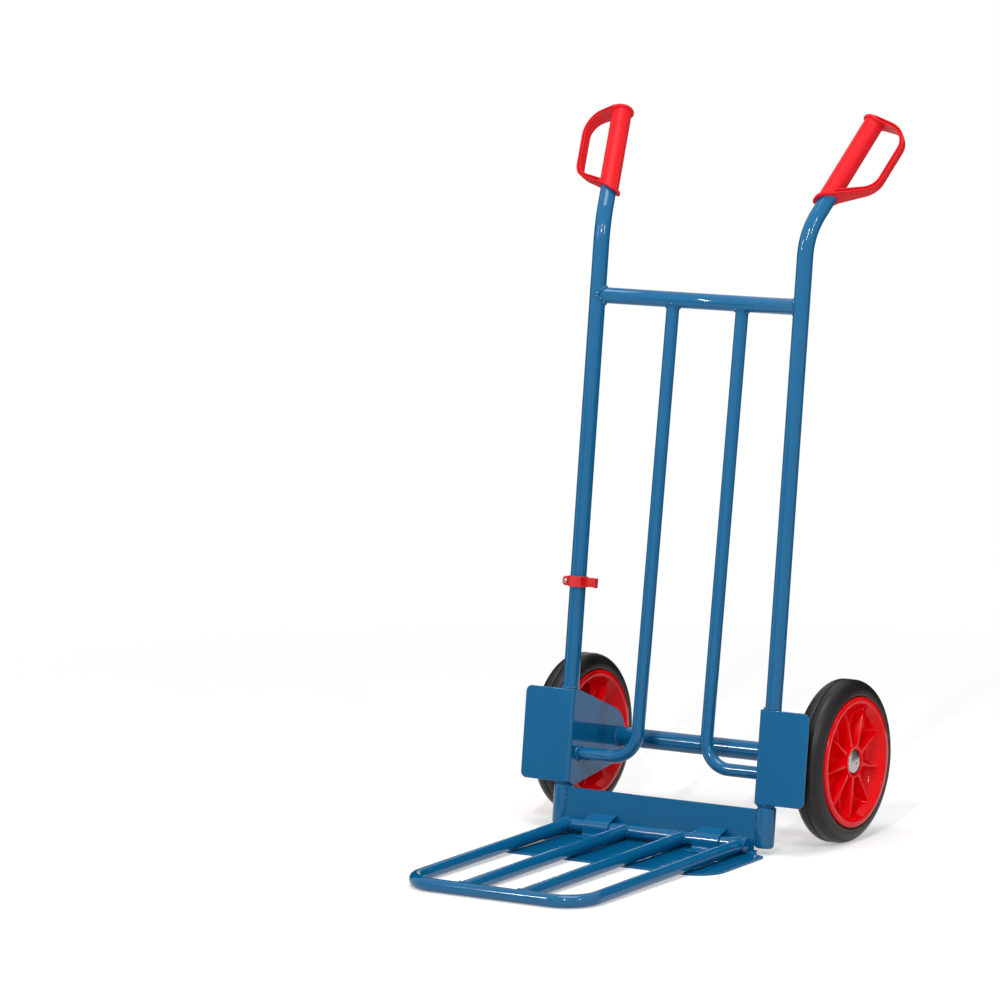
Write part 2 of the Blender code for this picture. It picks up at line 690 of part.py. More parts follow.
def make_extension():
    hinge = bpy.data.objects.new("extension_hinge", None)
    parts.objects.link(hinge)
    hinge.location = (0, HINGE_Y, HINGE_Z)
    hinge.rotation_euler = (EXTENSION_SLOPE, 0, 0)
    radius = EXTENSION_TUBE_RADIUS
    along_x = across_x(-HINGE_TUBE_HALF)
    cylinder("extension_hinge_tube", radius, 2 * HINGE_TUBE_HALF, along_x, BLUE, hinge, TUBE_SIDES)
    cope = cylinder("hinge_tube_cope", radius + CLEARANCE, 2 * HINGE_TUBE_HALF, along_x, None, hinge)

    half = EXTENSION_HALF_WIDTH
    corners = (
        Vector((-half, 0, 0)),
        Vector((-half, -EXTENSION_LENGTH, 0)),
        Vector((half, -EXTENSION_LENGTH, 0)),
        Vector((half, 0, 0)),
    )
    path = rounded(corners, (0, EXTENSION_CORNER, EXTENSION_CORNER, 0))
    loop = tube("extension_loop", path, radius, EXTENSION_WALL, BLUE, parent=hinge)
    combine(loop, cope, "DIFFERENCE")
    front = across_x(-half / 2, -EXTENSION_LENGTH)
    front_cope = cylinder("front_tube_cope", radius + CLEARANCE, half, front, None, hinge)
    for side in (1, -1):
        x = side * EXTENSION_BAR_X
        ends = (Vector((x, 0, 0)), Vector((x, -EXTENSION_LENGTH, 0)))
        bar = tube("extension_" + side_name(side) + "_bar", ends, radius, EXTENSION_WALL, BLUE, parent=hinge)
        combine(bar, cope, "DIFFERENCE")
        combine(bar, front_cope, "DIFFERENCE")


def folded_tube_ahead(along):
    """How far the folded extension's axis lies in front of the upright's axis, this far up the upright."""
    hinge = LEAN_FRAME.inverted() @ Vector((0, HINGE_Y, HINGE_Z))
    return -hinge.y - (along - hinge.z) * math.tan(CLIP_FOLD_LEAN)


def make_clip():
    """Band round the left upright, closed by a screw outboard, with an open jaw inboard for the extension's tube."""
    frame = on_upright(-1, CLIP_ALONG)
    jaw_ahead = folded_tube_ahead(CLIP_ALONG)
    low = frame @ Matrix.Translation((0, 0, -CLIP_HEIGHT / 2))
    clip = cylinder("clip", CLIP_RADIUS, CLIP_HEIGHT, low, RED)
    half = CLIP_HEIGHT / 2
    lugs = rounded(
        (
            Vector((-CLIP_LUG_REACH, -half)),
            Vector((0, -half)),
            Vector((0, half)),
            Vector((-CLIP_LUG_REACH, half)),
        ),
        (CLIP_LUG_ROUND, 0, 0, CLIP_LUG_ROUND),
    )
    lug_plane = frame @ Matrix.Rotation(math.pi / 2, 4, "X")
    combine(clip, flat("clip_lugs", lugs, CLIP_LUG_DEPTH, None, lug_plane), "UNION")
    jaw_x = UPRIGHT_X - EXTENSION_HALF_WIDTH
    arm_length = jaw_x - CLIP_JAW_INNER
    arm = frame @ Matrix.Translation((arm_length / 2, -jaw_ahead + CLIP_JAW_INNER / 2, 0))
    combine(clip, block("clip_arm", (arm_length, CLIP_ARM_DEPTH, CLIP_HEIGHT), arm), "UNION")
    outer_radius = CLIP_JAW_INNER + CLIP_JAW_THICKNESS
    inside, outside = [], []
    for k in range(2 * ARC_STEPS + 1):
        angle = math.pi * k / (2 * ARC_STEPS)
        spoke = Vector((math.cos(angle), math.sin(angle)))
        outside.append(spoke * outer_radius)
        inside.append(spoke * CLIP_JAW_INNER)
    reach = -CLIP_JAW_REACH
    lip = CLIP_LIP / 2
    jaw = [Vector((outer_radius + lip, reach)), Vector((outer_radius, reach + CLIP_LIP))] + outside
    jaw += [Vector((-outer_radius, reach)), Vector((-CLIP_JAW_INNER, reach))] + inside[::-1]
    jaw += [Vector((CLIP_JAW_INNER, reach + CLIP_LIP)), Vector((CLIP_JAW_INNER + lip, reach))]
    jaw_frame = frame @ Matrix.Translation((jaw_x, -jaw_ahead, 0))
    combine(clip, flat("clip_jaw", jaw, CLIP_HEIGHT, None, jaw_frame), "UNION")
    bore_frame = frame @ Matrix.Translation((0, 0, -CLIP_HEIGHT))
    bore = cylinder("clip_bore", UPRIGHT_RADIUS + CLEARANCE, 2 * CLIP_HEIGHT, bore_frame)
    combine(clip, bore, "DIFFERENCE")
    slit_size = (CLIP_LUG_REACH, CLIP_SLIT, 2 * CLIP_HEIGHT)
    combine(clip, block("clip_slit", slit_size, frame @ Matrix.Translation((-CLIP_LUG_REACH, 0, 0))), "DIFFERENCE")
    lengthways = frame @ Matrix.Translation((-SCREW_OUT, 0, 0)) @ Matrix.Rotation(math.pi / 2, 4, "X")
    hole_frame = lengthways @ Matrix.Translation((0, 0, -CLIP_LUG_DEPTH))
    combine(clip, cylinder("screw_hole", SCREW_RADIUS + CLEARANCE, 2 * CLIP_LUG_DEPTH, hole_frame), "DIFFERENCE")

    seat = CLIP_LUG_DEPTH / 2 + CLEARANCE
    tip = -seat - NUT_DEPTH - SCREW_RADIUS
    screw = (
        (0, seat + SCREW_HEAD_DEPTH),
        (SCREW_CROWN_RADIUS, seat + SCREW_CROWN_HEIGHT),
        (SCREW_HEAD_RADIUS, seat + SCREW_HEAD_RIM),
        (SCREW_HEAD_RADIUS, seat),
        (SCREW_RADIUS, seat),
        (SCREW_RADIUS, tip),
        (0, tip),
    )
    turned("clip_screw", screw, SMALL_ROUND_STEPS, ZINC, lengthways, closed=False)
    nut_frame = lengthways @ Matrix.Translation((0, 0, -seat - NUT_DEPTH))
    nut = cylinder("clip_nut", NUT_RADIUS, NUT_DEPTH, nut_frame, ZINC, sides=6)
    nut.data.shade_flat()
    nut_bore = lengthways @ Matrix.Translation((0, 0, -seat - 2 * NUT_DEPTH))
    combine(nut, cylinder("nut_bore", SCREW_RADIUS + CLEARANCE, 3 * NUT_DEPTH, nut_bore), "DIFFERENCE")


def wheel_frame(side):
    """Frame in the wheel's middle plane, its Z pointing outboard along the axle."""
    turn = Matrix.Rotation(side * math.pi / 2, 4, "Y")
    return Matrix.Translation((side * WHEEL_MID_X, AXLE_Y, WHEEL_RADIUS)) @ turn


def rib_edge(share, steps):
    """Points down the free edge of a rib, from the rim: it climbs off the rim's wall, then runs level to the hub."""
    edge = []
    for k in range(steps + 1):
        radius = RIB_RIM_RADIUS + (RIB_HUB_RADIUS - RIB_RIM_RADIUS) * k / steps
        past = max(0, (radius - RIB_LEVEL_RADIUS) / RIB_LEVEL_INSET)
        edge.append((radius, share * (RIB_HEIGHT - RIB_FALL * past**2)))
    return edge


def rib_half(radius, on_base):
    """Half the thickness of a rib: broad on the web, thin along its edge, which flares into the hub."""
    if on_base:
        return min(RIB_BASE_HALF, RIB_BASE_PER_RADIUS * radius)
    near = max(0, (RIB_LEVEL_RADIUS - radius) / (RIB_LEVEL_RADIUS - RIB_HUB_RADIUS))
    return RIB_EDGE_HALF + RIB_EDGE_FLARE * near**2


def rib_mesh(name, edge, sign):
    """Ribs of one face of the wheel as one mesh, the first one turned off the downward line."""
    outline = [Vector((radius, sign * height)) for radius, height in edge]
    outline += [Vector((radius, -sign * WEB_HALF / 2)) for radius in (RIB_HUB_RADIUS, RIB_RIM_RADIUS)]
    mesh = mesh_from(flat(name + "_outline", outline, 2 * RIB_EDGE_HALF, None))
    shape = bmesh.new()
    shape.from_mesh(mesh)
    for point in shape.verts:
        radius, height, offset = point.co
        half = rib_half(radius, sign * height < WEB_HALF)
        point.co = (radius, math.copysign(half, offset), height)
    bmesh.ops.rotate(shape, matrix=Matrix.Rotation(RIB_TURN, 3, "Z"), verts=shape.verts)
    first = list(shape.verts) + list(shape.edges) + list(shape.faces)
    for k in range(1, RIB_COUNT):
        copied = bmesh.ops.duplicate(shape, geom=first)["geom"]
        turn = Matrix.Rotation(2 * math.pi * k / RIB_COUNT, 4, "Z")
        points = [item for item in copied if isinstance(item, bmesh.types.BMVert)]
        bmesh.ops.transform(shape, matrix=turn, verts=points)
    bmesh.ops.recalc_face_normals(shape, faces=shape.faces)
    shape.to_mesh(mesh)
    shape.free()
    return mesh


def dish(height):
    """Points of the rim's face from the lip's inner edge down the sloping wall to the web and in to the hub."""
    drop = RIM_HALF_WIDTH - WEB_HALF
    corner = Vector((RIM_LIP_INNER - drop * math.tan(RIM_WALL_DRAFT), WEB_HALF))
    line = (Vector((RIM_LIP_INNER, RIM_HALF_WIDTH)), corner, Vector((HUB_ROOT_RADIUS, WEB_HALF)))
    path = rounded(line, (0, RIM_WALL_FILLET, 0), RIM_WALL_STEPS)
    return [(radius, height * depth) for radius, depth in path]


def tyre_half_profile(seat):
    """Points from the tread's middle groove out over the round shoulder and in to the bead on the rim."""
    points = [(WHEEL_RADIUS, TREAD_GROOVE_HALF)]
    for k in range(ARC_STEPS):
        angle = math.pi / 2 * k / (ARC_STEPS - 1)
        radius = SIDEWALL_RADIUS + (WHEEL_RADIUS - SIDEWALL_RADIUS) * math.cos(angle)
        points.append((radius, TREAD_HALF + (SIDEWALL_HALF - TREAD_HALF) * math.sin(angle)))
    points.append((RIM_LIP_RADIUS + CLEARANCE, SIDEWALL_HALF - SIDEWALL_TUCK))
    points.append((RIM_LIP_RADIUS + CLEARANCE, seat - CLEARANCE))
    points.append((RIM_SEAT_RADIUS + CLEARANCE, seat - RIM_SEAT_SLOPE - CLEARANCE))
    return points


def make_wheel(side):
    name = side_name(side)
    frame = wheel_frame(side)
    half = RIM_HALF_WIDTH
    seat = half - RIM_LIP_DEPTH
    pocket = HUB_OUT - CAP_POCKET_DEPTH
    centre_profile = [
        (RIM_LIP_RADIUS, half),
        (RIM_LIP_RADIUS, seat),
        (RIM_SEAT_RADIUS, seat - RIM_SEAT_SLOPE),
        (RIM_SEAT_RADIUS, -seat + RIM_SEAT_SLOPE),
        (RIM_LIP_RADIUS, -seat),
        (RIM_LIP_RADIUS, -half),
    ]
    centre_profile += dish(-1)
    centre_profile += [
        (HUB_FACE_RADIUS, HUB_IN),
        (BUSH_RADIUS + CLEARANCE, HUB_IN),
        (BUSH_RADIUS + CLEARANCE, pocket),
        (CAP_POCKET_RADIUS, pocket),
        (CAP_POCKET_RADIUS, HUB_OUT),
        (HUB_FACE_RADIUS, HUB_OUT),
    ]
    centre_profile += reversed(dish(1))
    centre = turned(name + "_wheel_centre", centre_profile, WHEEL_STEPS, RED, frame)
    outside = placed(name + "_outer_ribs", rib_mesh(name + "_outer_ribs", rib_edge(1, ARC_STEPS), 1), None, frame)
    combine(centre, outside, "UNION")
    inside_edge = rib_edge(RIB_INSIDE_SHARE, ARC_STEPS - 2)
    inside = placed(name + "_inner_ribs", rib_mesh(name + "_inner_ribs", inside_edge, -1), None, frame)
    combine(centre, inside, "UNION")

    half_profile = tyre_half_profile(seat)
    groove = WHEEL_RADIUS - TREAD_GROOVE_DEPTH
    tyre_profile = [(radius, -height) for radius, height in half_profile]
    tyre_profile += [(radius, height) for radius, height in reversed(half_profile)]
    tyre_profile += [(groove, TREAD_GROOVE_HALF / 2), (groove, -TREAD_GROOVE_HALF / 2)]
    turned(name + "_tyre", tyre_profile, WHEEL_STEPS, RUBBER, frame)

    bore = AXLE_RADIUS + CLEARANCE
    ring(name + "_wheel_bush", BUSH_RADIUS, bore, HUB_IN, pocket, NYLON, frame)
    low = pocket + CLEARANCE
    ring(name + "_outer_washer", WASHER_RADIUS, bore, low, low + WASHER_DEPTH, ZINC, frame)
    high = HUB_IN - CLEARANCE
    ring(name + "_inner_washer", WASHER_RADIUS, bore, high - WASHER_DEPTH, high, ZINC, frame)
    plate_face = PLATE_INNER_X + PLATE_THICKNESS + CLEARANCE - WHEEL_MID_X
    ring(name + "_spacer", SPACER_RADIUS, bore, plate_face, high - WASHER_DEPTH - CLEARANCE, ZINC, frame)

    base = low + WASHER_DEPTH + CLEARANCE
    dome = [(0, base + CAP_HEIGHT)]
    for k in range(1, CAP_STEPS + 1):
        angle = math.pi / 2 * (1 - k / CAP_STEPS)
        rise = CAP_SKIRT + (CAP_HEIGHT - CAP_SKIRT) * math.sin(angle)
        dome.append((CAP_RADIUS * math.cos(angle), base + rise))
    cap = dome + [(CAP_RADIUS, base), (bore, base), (bore, base + CAP_BORE_DEPTH), (0, base + CAP_BORE_DEPTH)]
    turned(name + "_hub_cap", cap, SMALL_ROUND_STEPS + 4, ZINC, frame, closed=False)


def make_axle():
    along_x = across_x(0, AXLE_Y, WHEEL_RADIUS)
    cap_base = HUB_OUT - CAP_POCKET_DEPTH + 2 * CLEARANCE + WASHER_DEPTH
    half = WHEEL_MID_X + cap_base + CAP_BORE_DEPTH - CLEARANCE
    cylinder("axle", AXLE_RADIUS, 2 * half, along_x @ Matrix.Translation((0, 0, -half)), STEEL)
    tube_half = PLATE_INNER_X - CLEARANCE
    ring("axle_tube", AXLE_TUBE_RADIUS, AXLE_RADIUS + CLEARANCE, -tube_half, tube_half, BLUE, along_x)


for side in (-1, 1):
    make_upright(side)
    make_socket(side)
    make_grip(side)
    make_side_plate(side)
    make_strap(side)
    make_wheel(side)
make_crossbar_and_bars()
make_toe_plate()
make_axle()
make_extension()
make_clip()
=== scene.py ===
from math import acos, asin, cos, pi, radians, sin, sqrt, tan

import bmesh
import bpy
from mathutils import Matrix, Quaternion, Vector


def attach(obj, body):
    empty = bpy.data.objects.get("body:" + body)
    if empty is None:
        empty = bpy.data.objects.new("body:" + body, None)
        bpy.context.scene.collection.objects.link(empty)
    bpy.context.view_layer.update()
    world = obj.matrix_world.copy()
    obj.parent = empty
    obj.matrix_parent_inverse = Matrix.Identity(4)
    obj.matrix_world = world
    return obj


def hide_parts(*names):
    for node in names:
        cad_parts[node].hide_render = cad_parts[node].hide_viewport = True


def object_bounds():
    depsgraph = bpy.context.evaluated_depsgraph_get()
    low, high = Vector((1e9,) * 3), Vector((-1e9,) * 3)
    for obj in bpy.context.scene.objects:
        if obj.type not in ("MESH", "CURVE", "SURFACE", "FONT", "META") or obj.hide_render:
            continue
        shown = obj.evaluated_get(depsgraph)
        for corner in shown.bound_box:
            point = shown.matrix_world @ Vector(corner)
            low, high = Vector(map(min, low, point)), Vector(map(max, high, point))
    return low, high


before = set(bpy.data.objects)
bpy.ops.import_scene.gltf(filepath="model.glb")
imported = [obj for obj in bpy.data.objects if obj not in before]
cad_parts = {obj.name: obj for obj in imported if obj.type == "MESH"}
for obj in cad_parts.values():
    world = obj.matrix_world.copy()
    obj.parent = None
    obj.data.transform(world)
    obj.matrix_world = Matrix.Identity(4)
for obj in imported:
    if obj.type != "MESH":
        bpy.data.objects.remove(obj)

# Convertible hand truck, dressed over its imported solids. Metres, Z up, the load side faces -Y.
cadBox = [list(corner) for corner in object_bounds()]
mm = 0.001
gap = 0.3 * mm  # the fit between two pieces that touch
margin = 10 * mm  # how far a rough shape reaches past the edge it is trimmed to
bothSides = (("left", -1), ("right", 1))
print("frame loaded:", len(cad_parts), "solids")

# Small tools
shift = Matrix.Translation
upRight = Matrix.Rotation(pi / 2, 4, "X")  # local XY becomes the XZ plane


def linear(hexColour):
    parts = [int(hexColour[k : k + 2], 16) / 255 for k in (1, 3, 5)]
    return [p / 12.92 if p <= 0.04045 else ((p + 0.055) / 1.055) ** 2.4 for p in parts] + [1.0]


def addNode(tree, kind, sockets=None, **settings):  # a socket takes a value, a link or a node's first output
    node = tree.nodes.new(kind)
    for name, value in settings.items():
        setattr(node, name, value)
    for name, value in (sockets or {}).items():
        if isinstance(value, bpy.types.Node):
            value = value.outputs[0]
        if isinstance(value, bpy.types.NodeSocket):
            tree.links.new(value, node.inputs[name])
        else:
            node.inputs[name].default_value = value
    return node


def addObject(name, data):
    item = bpy.data.objects.new(name, data)
    bpy.context.scene.collection.objects.link(item)
    return item


def axesFrame(xAxis, yAxis, zAxis, origin):
    place = Matrix((xAxis, yAxis, zAxis)).transposed().to_4x4()
    place.translation = origin
    return place


def acrossFrame(x, y=0.0, z=0.0):  # local XY is the world's YZ plane
    return axesFrame((0, 1, 0), (0, 0, 1), (1, 0, 0), (x, y, z))


def roundPath(corners, radii, steps):  # a line through the corners, each one rounded by its radius
    corners = [Vector(corner) for corner in corners]
    path = []
    for k, (corner, radius) in enumerate(zip(corners, radii)):
        if not radius:
            path.append(corner)
            continue
        before = (corners[k - 1] - corner).normalized()
        after = (corners[(k + 1) % len(corners)] - corner).normalized()
        half = before.angle(after) / 2
        centre = corner + (before + after).normalized() * radius / sin(half)
        first = (corner + before * radius / tan(half) - centre).normalized()
        last = (corner + after * radius / tan(half) - centre).normalized()
        path += [centre + first.slerp(last, j / steps) * radius for j in range(steps + 1)]
    return path


def circle(steps):
    return [2 * pi * k / steps for k in range(steps)]


def rectangle(left, right, low, high):
    return [(left, low), (right, low), (right, high), (left, high)]


def gridFaces(rows, columns, rowsMeet, columnsMeet):
    faces = []
    for k in range(rows if rowsMeet else rows - 1):
        here, there = k * columns, (k + 1) % rows * columns
        for j in range(columns if columnsMeet else columns - 1):
            j2 = (j + 1) % columns
            faces.append([here + j, here + j2, there + j2, there + j])
    return faces


def closedSkin(mesh):  # doubles merged, faces outwards
    shape = bmesh.new()
    shape.from_mesh(mesh)
    bmesh.ops.remove_doubles(shape, verts=shape.verts, dist=0.001 * mm)
    bmesh.ops.recalc_face_normals(shape, faces=shape.faces)
    shape.to_mesh(mesh)
    shape.free()
    return mesh


def meshFrom(points, faces, place=None):
    mesh = bpy.data.meshes.new("draft")
    mesh.from_pydata([tuple(point) for point in points], [], faces)
    closedSkin(mesh)
    if place is not None:
        mesh.transform(place)
    return mesh


def lathe(profile, steps, place=None, closed=False):  # profile: (radius, height) about local Z
    points, faces, count = [], [], len(profile)
    for turn in circle(steps):
        points += [(r * cos(turn), r * sin(turn), h) for r, h in profile]
    onAxis = [r < 1e-9 for r, h in profile]
    for face in gridFaces(steps, count, True, closed):
        ring = list(dict.fromkeys(p % count if onAxis[p % count] else p for p in face))
        if len(ring) > 2:
            faces.append(ring)
    return meshFrom(points, faces, place)


def plug(radius, low, high, steps, place=None):  # a round cutter
    return lathe([(0, low), (radius, low), (radius, high), (0, high)], steps, place)


def slab(outline, thickness, place=None):  # outline in local XY, half the thickness each side
    count = len(outline)
    points = [(p[0], p[1], z) for z in (-thickness / 2, thickness / 2) for p in outline]
    caps = [list(range(count))[::-1], list(range(count, 2 * count))]
    return meshFrom(points, caps + gridFaces(2, count, False, True), place)


def settled(mesh, build):  # the mesh after the modifiers that build adds to it
    draft = addObject("draft", mesh)
    build(draft)
    bpy.context.view_layer.update()
    graph = bpy.context.evaluated_depsgraph_get()
    result = bpy.data.meshes.new_from_object(draft.evaluated_get(graph))
    bpy.data.objects.remove(draft, do_unlink=True)
    return result


def combined(mesh, steps):  # steps: (operation, other mesh) one after another
    others = [addObject("cutter", otherMesh) for operation, otherMesh in steps]

    def build(draft):
        for (operation, otherMesh), other in zip(steps, others):
            change = draft.modifiers.new("cut", "BOOLEAN")
            change.solver, change.operation, change.object = "EXACT", operation, other

    result = settled(mesh, build)
    for other in others:
        bpy.data.objects.remove(other, do_unlink=True)
    shape = bmesh.new()
    shape.from_mesh(result)
    bmesh.ops.remove_doubles(shape, verts=shape.verts, dist=0.002 * mm)
    bmesh.ops.dissolve_limit(shape, angle_limit=radians(0.5), verts=shape.verts, edges=shape.edges)
    shape.to_mesh(result)
    shape.free()
    return result


def smoothUpTo(mesh, degrees):
    mesh.shade_smooth()
    mesh.set_sharp_from_angle(angle=radians(degrees))


def softened(mesh, width, degrees=40):  # rounds the sheared or moulded edges
    def build(draft):
        bevel = draft.modifiers.new("edge", "BEVEL")
        bevel.width, bevel.segments = width, 2
        bevel.limit_method, bevel.angle_limit = "ANGLE", radians(degrees)
        bevel.harden_normals = True

    smoothUpTo(mesh, degrees)
    return settled(mesh, build)


def finishPiece(name, mesh, body, finish, *nodes, sharp=38):
    mesh.name = name
    piece = addObject(name, mesh)
    mesh.materials.clear()
    mesh.materials.append(finish)
    if sharp:
        smoothUpTo(mesh, sharp)
    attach(piece, body)
    if nodes:
        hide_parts(*nodes)


def startMaterial(name):
    material = bpy.data.materials.new(name)
    material.use_nodes = True
    tree = material.node_tree
    tree.nodes.clear()
    return material, tree, addNode(tree, "ShaderNodeTexCoord").outputs["Object"]


# patterns: size in mm (one, or along X, Y and Z), detail, distortion
# tint and gloss: pattern, then its range in use and the share of the second colour or the roughness it becomes
# bump: pattern, strength, height in mm
def makeFinish(name, look):
    material, tree, place = startMaterial(name)
    fields, ranged, sockets = {}, {}, dict(look["shader"])
    for label, (size, detail, distortion) in look["patterns"].items():
        sizes = size if isinstance(size, tuple) else (size, size, size)
        scaled = addNode(tree, "ShaderNodeMapping", {"Vector": place, "Scale": [1 / (s * mm) for s in sizes]})
        settings = {"Vector": scaled, "Scale": 1.0, "Detail": detail, "Distortion": distortion}
        fields[label] = addNode(tree, "ShaderNodeTexNoise", settings)
    for use in ("tint", "gloss"):
        if use in look:
            label, *limits = look[use]
            ranged[use] = fields[label]
            if limits:
                settings = dict(zip(("From Min", "From Max", "To Min", "To Max"), limits))
                ranged[use] = addNode(tree, "ShaderNodeMapRange", {"Value": fields[label], **settings})
    first, second = [linear(colour) for colour in look["colours"]]
    mixed = addNode(tree, "ShaderNodeMix", {0: ranged["tint"], 6: first, 7: second}, data_type="RGBA")
    sockets["Base Color"] = mixed.outputs[2]
    if "gloss" in ranged:
        sockets["Roughness"] = ranged["gloss"]
    if "bump" in look:
        label, strength, height = look["bump"]
        settings = {"Height": fields[label], "Strength": strength, "Distance": height * mm}
        sockets["Normal"] = addNode(tree, "ShaderNodeBump", settings)
    shader = addNode(tree, "ShaderNodeBsdfPrincipled", sockets)
    addNode(tree, "ShaderNodeOutputMaterial", {"Surface": shader})
    return material


# Steel tube and sheet in baked gloss enamel: deep even blue, hard clear reflections, a faint orange peel
enamel = makeFinish("bakedGlossEnamel", {
    "patterns": {"cloud": (70, 3, 0), "peel": (3, 1, 0)},
    "colours": ("#045a87", "#055f8d"),
    "tint": ("cloud",),
    "gloss": ("cloud", 0.3, 0.7, 0.06, 0.1),
    "bump": ("peel", 0.004, 0.3),
    "shader": {"IOR": 1.5, "Specular IOR Level": 0.35},
})
# Polypropylene, injection moulded in a polished mould: full red, glossy, with a faint flow in it
wheelPlastic = makeFinish("mouldedPolypropylene", {
    "patterns": {"flow": (24, 4, 0.8), "grain": (1.6, 2, 0)},
    "colours": ("#e00009", "#ea000b"),
    "tint": ("flow",),
    "gloss": ("flow", 0, 1, 0.08, 0.14),
    "bump": ("grain", 0.03, 0.3),
    "shader": {"IOR": 1.49, "Specular IOR Level": 0.15},
})
# Soft PVC from a spark-eroded mould: clear red, satin, with a leathery grain drawn coarse enough to show
gripPlastic = makeFinish("mouldedSoftPvc", {
    "patterns": {"cloud": (35, 3, 0), "grain": (5, 1, 0)},
    "colours": ("#d21720", "#d71c25"),
    "tint": ("cloud",),
    "gloss": ("grain", 0, 1, 0.36, 0.46),
    "bump": ("grain", 0.04, 0.2),
    "shader": {"IOR": 1.52, "Specular IOR Level": 0.12},
})
# Nylon, injection moulded: the same red as the wheels, a little duller and finely grained
clipNylon = makeFinish("mouldedRedNylon", {
    "patterns": {"grain": (0.9, 3, 0)},
    "colours": ("#c40d17", "#d5141d"),
    "tint": ("grain",),
    "gloss": ("grain", 0, 1, 0.3, 0.45),
    "bump": ("grain", 0.1, 0.2),
    "shader": {"IOR": 1.53},
})
# Solid rubber, press moulded: warm near-black, a soft sheen, slightly dusty in the fine grain
tyreRubber = makeFinish("pressMouldedRubber", {
    "patterns": {"cloud": (18, 5, 0), "grain": (0.8, 3, 0)},
    "colours": ("#151212", "#1f1b1b"),
    "tint": ("cloud", 0.45, 0.75, 0, 0.6),
    "gloss": ("cloud", 0, 1, 0.32, 0.48),
    "bump": ("grain", 0.22, 0.25),
    "shader": {"IOR": 1.52, "Specular IOR Level": 0.28},
})
# Pressed steel with bright zinc plate: pale grey metal, cloudy, with fine specks in the plating
zinc = makeFinish("brightZincPlate", {
    "patterns": {"speck": (1.3, 2, 0), "cloud": (6, 3, 0)},
    "colours": ("#b4b2b1", "#6a6868"),
    "tint": ("speck", 0.52, 0.72, 0, 0.8),
    "gloss": ("cloud", 0, 1, 0.2, 0.34),
    "bump": ("speck", 0.15, 0.15),
    "shader": {"Metallic": 1.0},
})
# Bright drawn steel bar: grey metal with fine lines along the draw, which runs along X
drawnSteel = makeFinish("brightDrawnSteel", {
    "patterns": {"lines": ((30, 0.5, 0.5), 2, 0)},
    "colours": ("#8d8d8a", "#b3b3b0"),
    "tint": ("lines",),
    "gloss": ("lines", 0, 1, 0.25, 0.4),
    "shader": {"Metallic": 1.0},
})
# Natural nylon, turned from bar: milky white with faint turning lines
bushNylon = makeFinish("turnedNaturalNylon", {
    "patterns": {"lines": ((0.7, 25, 25), 2, 0)},
    "colours": ("#d6d2c6", "#e6e3da"),
    "tint": ("lines",),
    "bump": ("lines", 0.1, 0.2),
    "shader": {"IOR": 1.53, "Roughness": 0.45},
})

# Node trees for what follows a path or repeats


def startTree(name, *inputs):
    tree = bpy.data.node_groups.new(name, "GeometryNodeTree")
    tree.interface.new_socket("Geometry", in_out="OUTPUT", socket_type="NodeSocketGeometry")
    for label, kind in (("Geometry", "Geometry"), *inputs, ("Finish", "Material")):
        tree.interface.new_socket(label, in_out="INPUT", socket_type="NodeSocket" + kind)
    return tree, addNode(tree, "NodeGroupInput").outputs


def endTree(tree, geometry, finish):
    real = addNode(tree, "GeometryNodeRealizeInstances", {"Geometry": geometry})
    smooth = addNode(tree, "GeometryNodeSetShadeSmooth", {"Geometry": real})
    painted = addNode(tree, "GeometryNodeSetMaterial", {"Geometry": smooth, "Material": finish})
    addNode(tree, "NodeGroupOutput", {"Geometry": painted})
    return tree


def grown(mesh, tree, values):  # the tree's result as a plain mesh
    sockets = {item.name: item.identifier for item in tree.interface.items_tree if item.in_out == "INPUT"}

    def build(draft):
        modifier = draft.modifiers.new("grow", "NODES")
        modifier.node_group = tree
        for label, value in values.items():
            modifier[sockets[label]] = value

    return settled(mesh, build)


def makeTubeTree():  # a round section carried along the path, its ends closed
    tree, given = startTree("tubeAlongPath", ("Tube Radius", "Float"), ("Round Sides", "Int"))
    path = addNode(tree, "GeometryNodeMeshToCurve", {"Mesh": given["Geometry"]})
    sizes = {"Resolution": given["Round Sides"], "Radius": given["Tube Radius"]}
    section = addNode(tree, "GeometryNodeCurvePrimitiveCircle", sizes, mode="RADIUS")
    tube = addNode(tree, "GeometryNodeCurveToMesh", {"Curve": path, "Profile Curve": section, "Fill Caps": True})
    return endTree(tree, tube, given["Finish"])


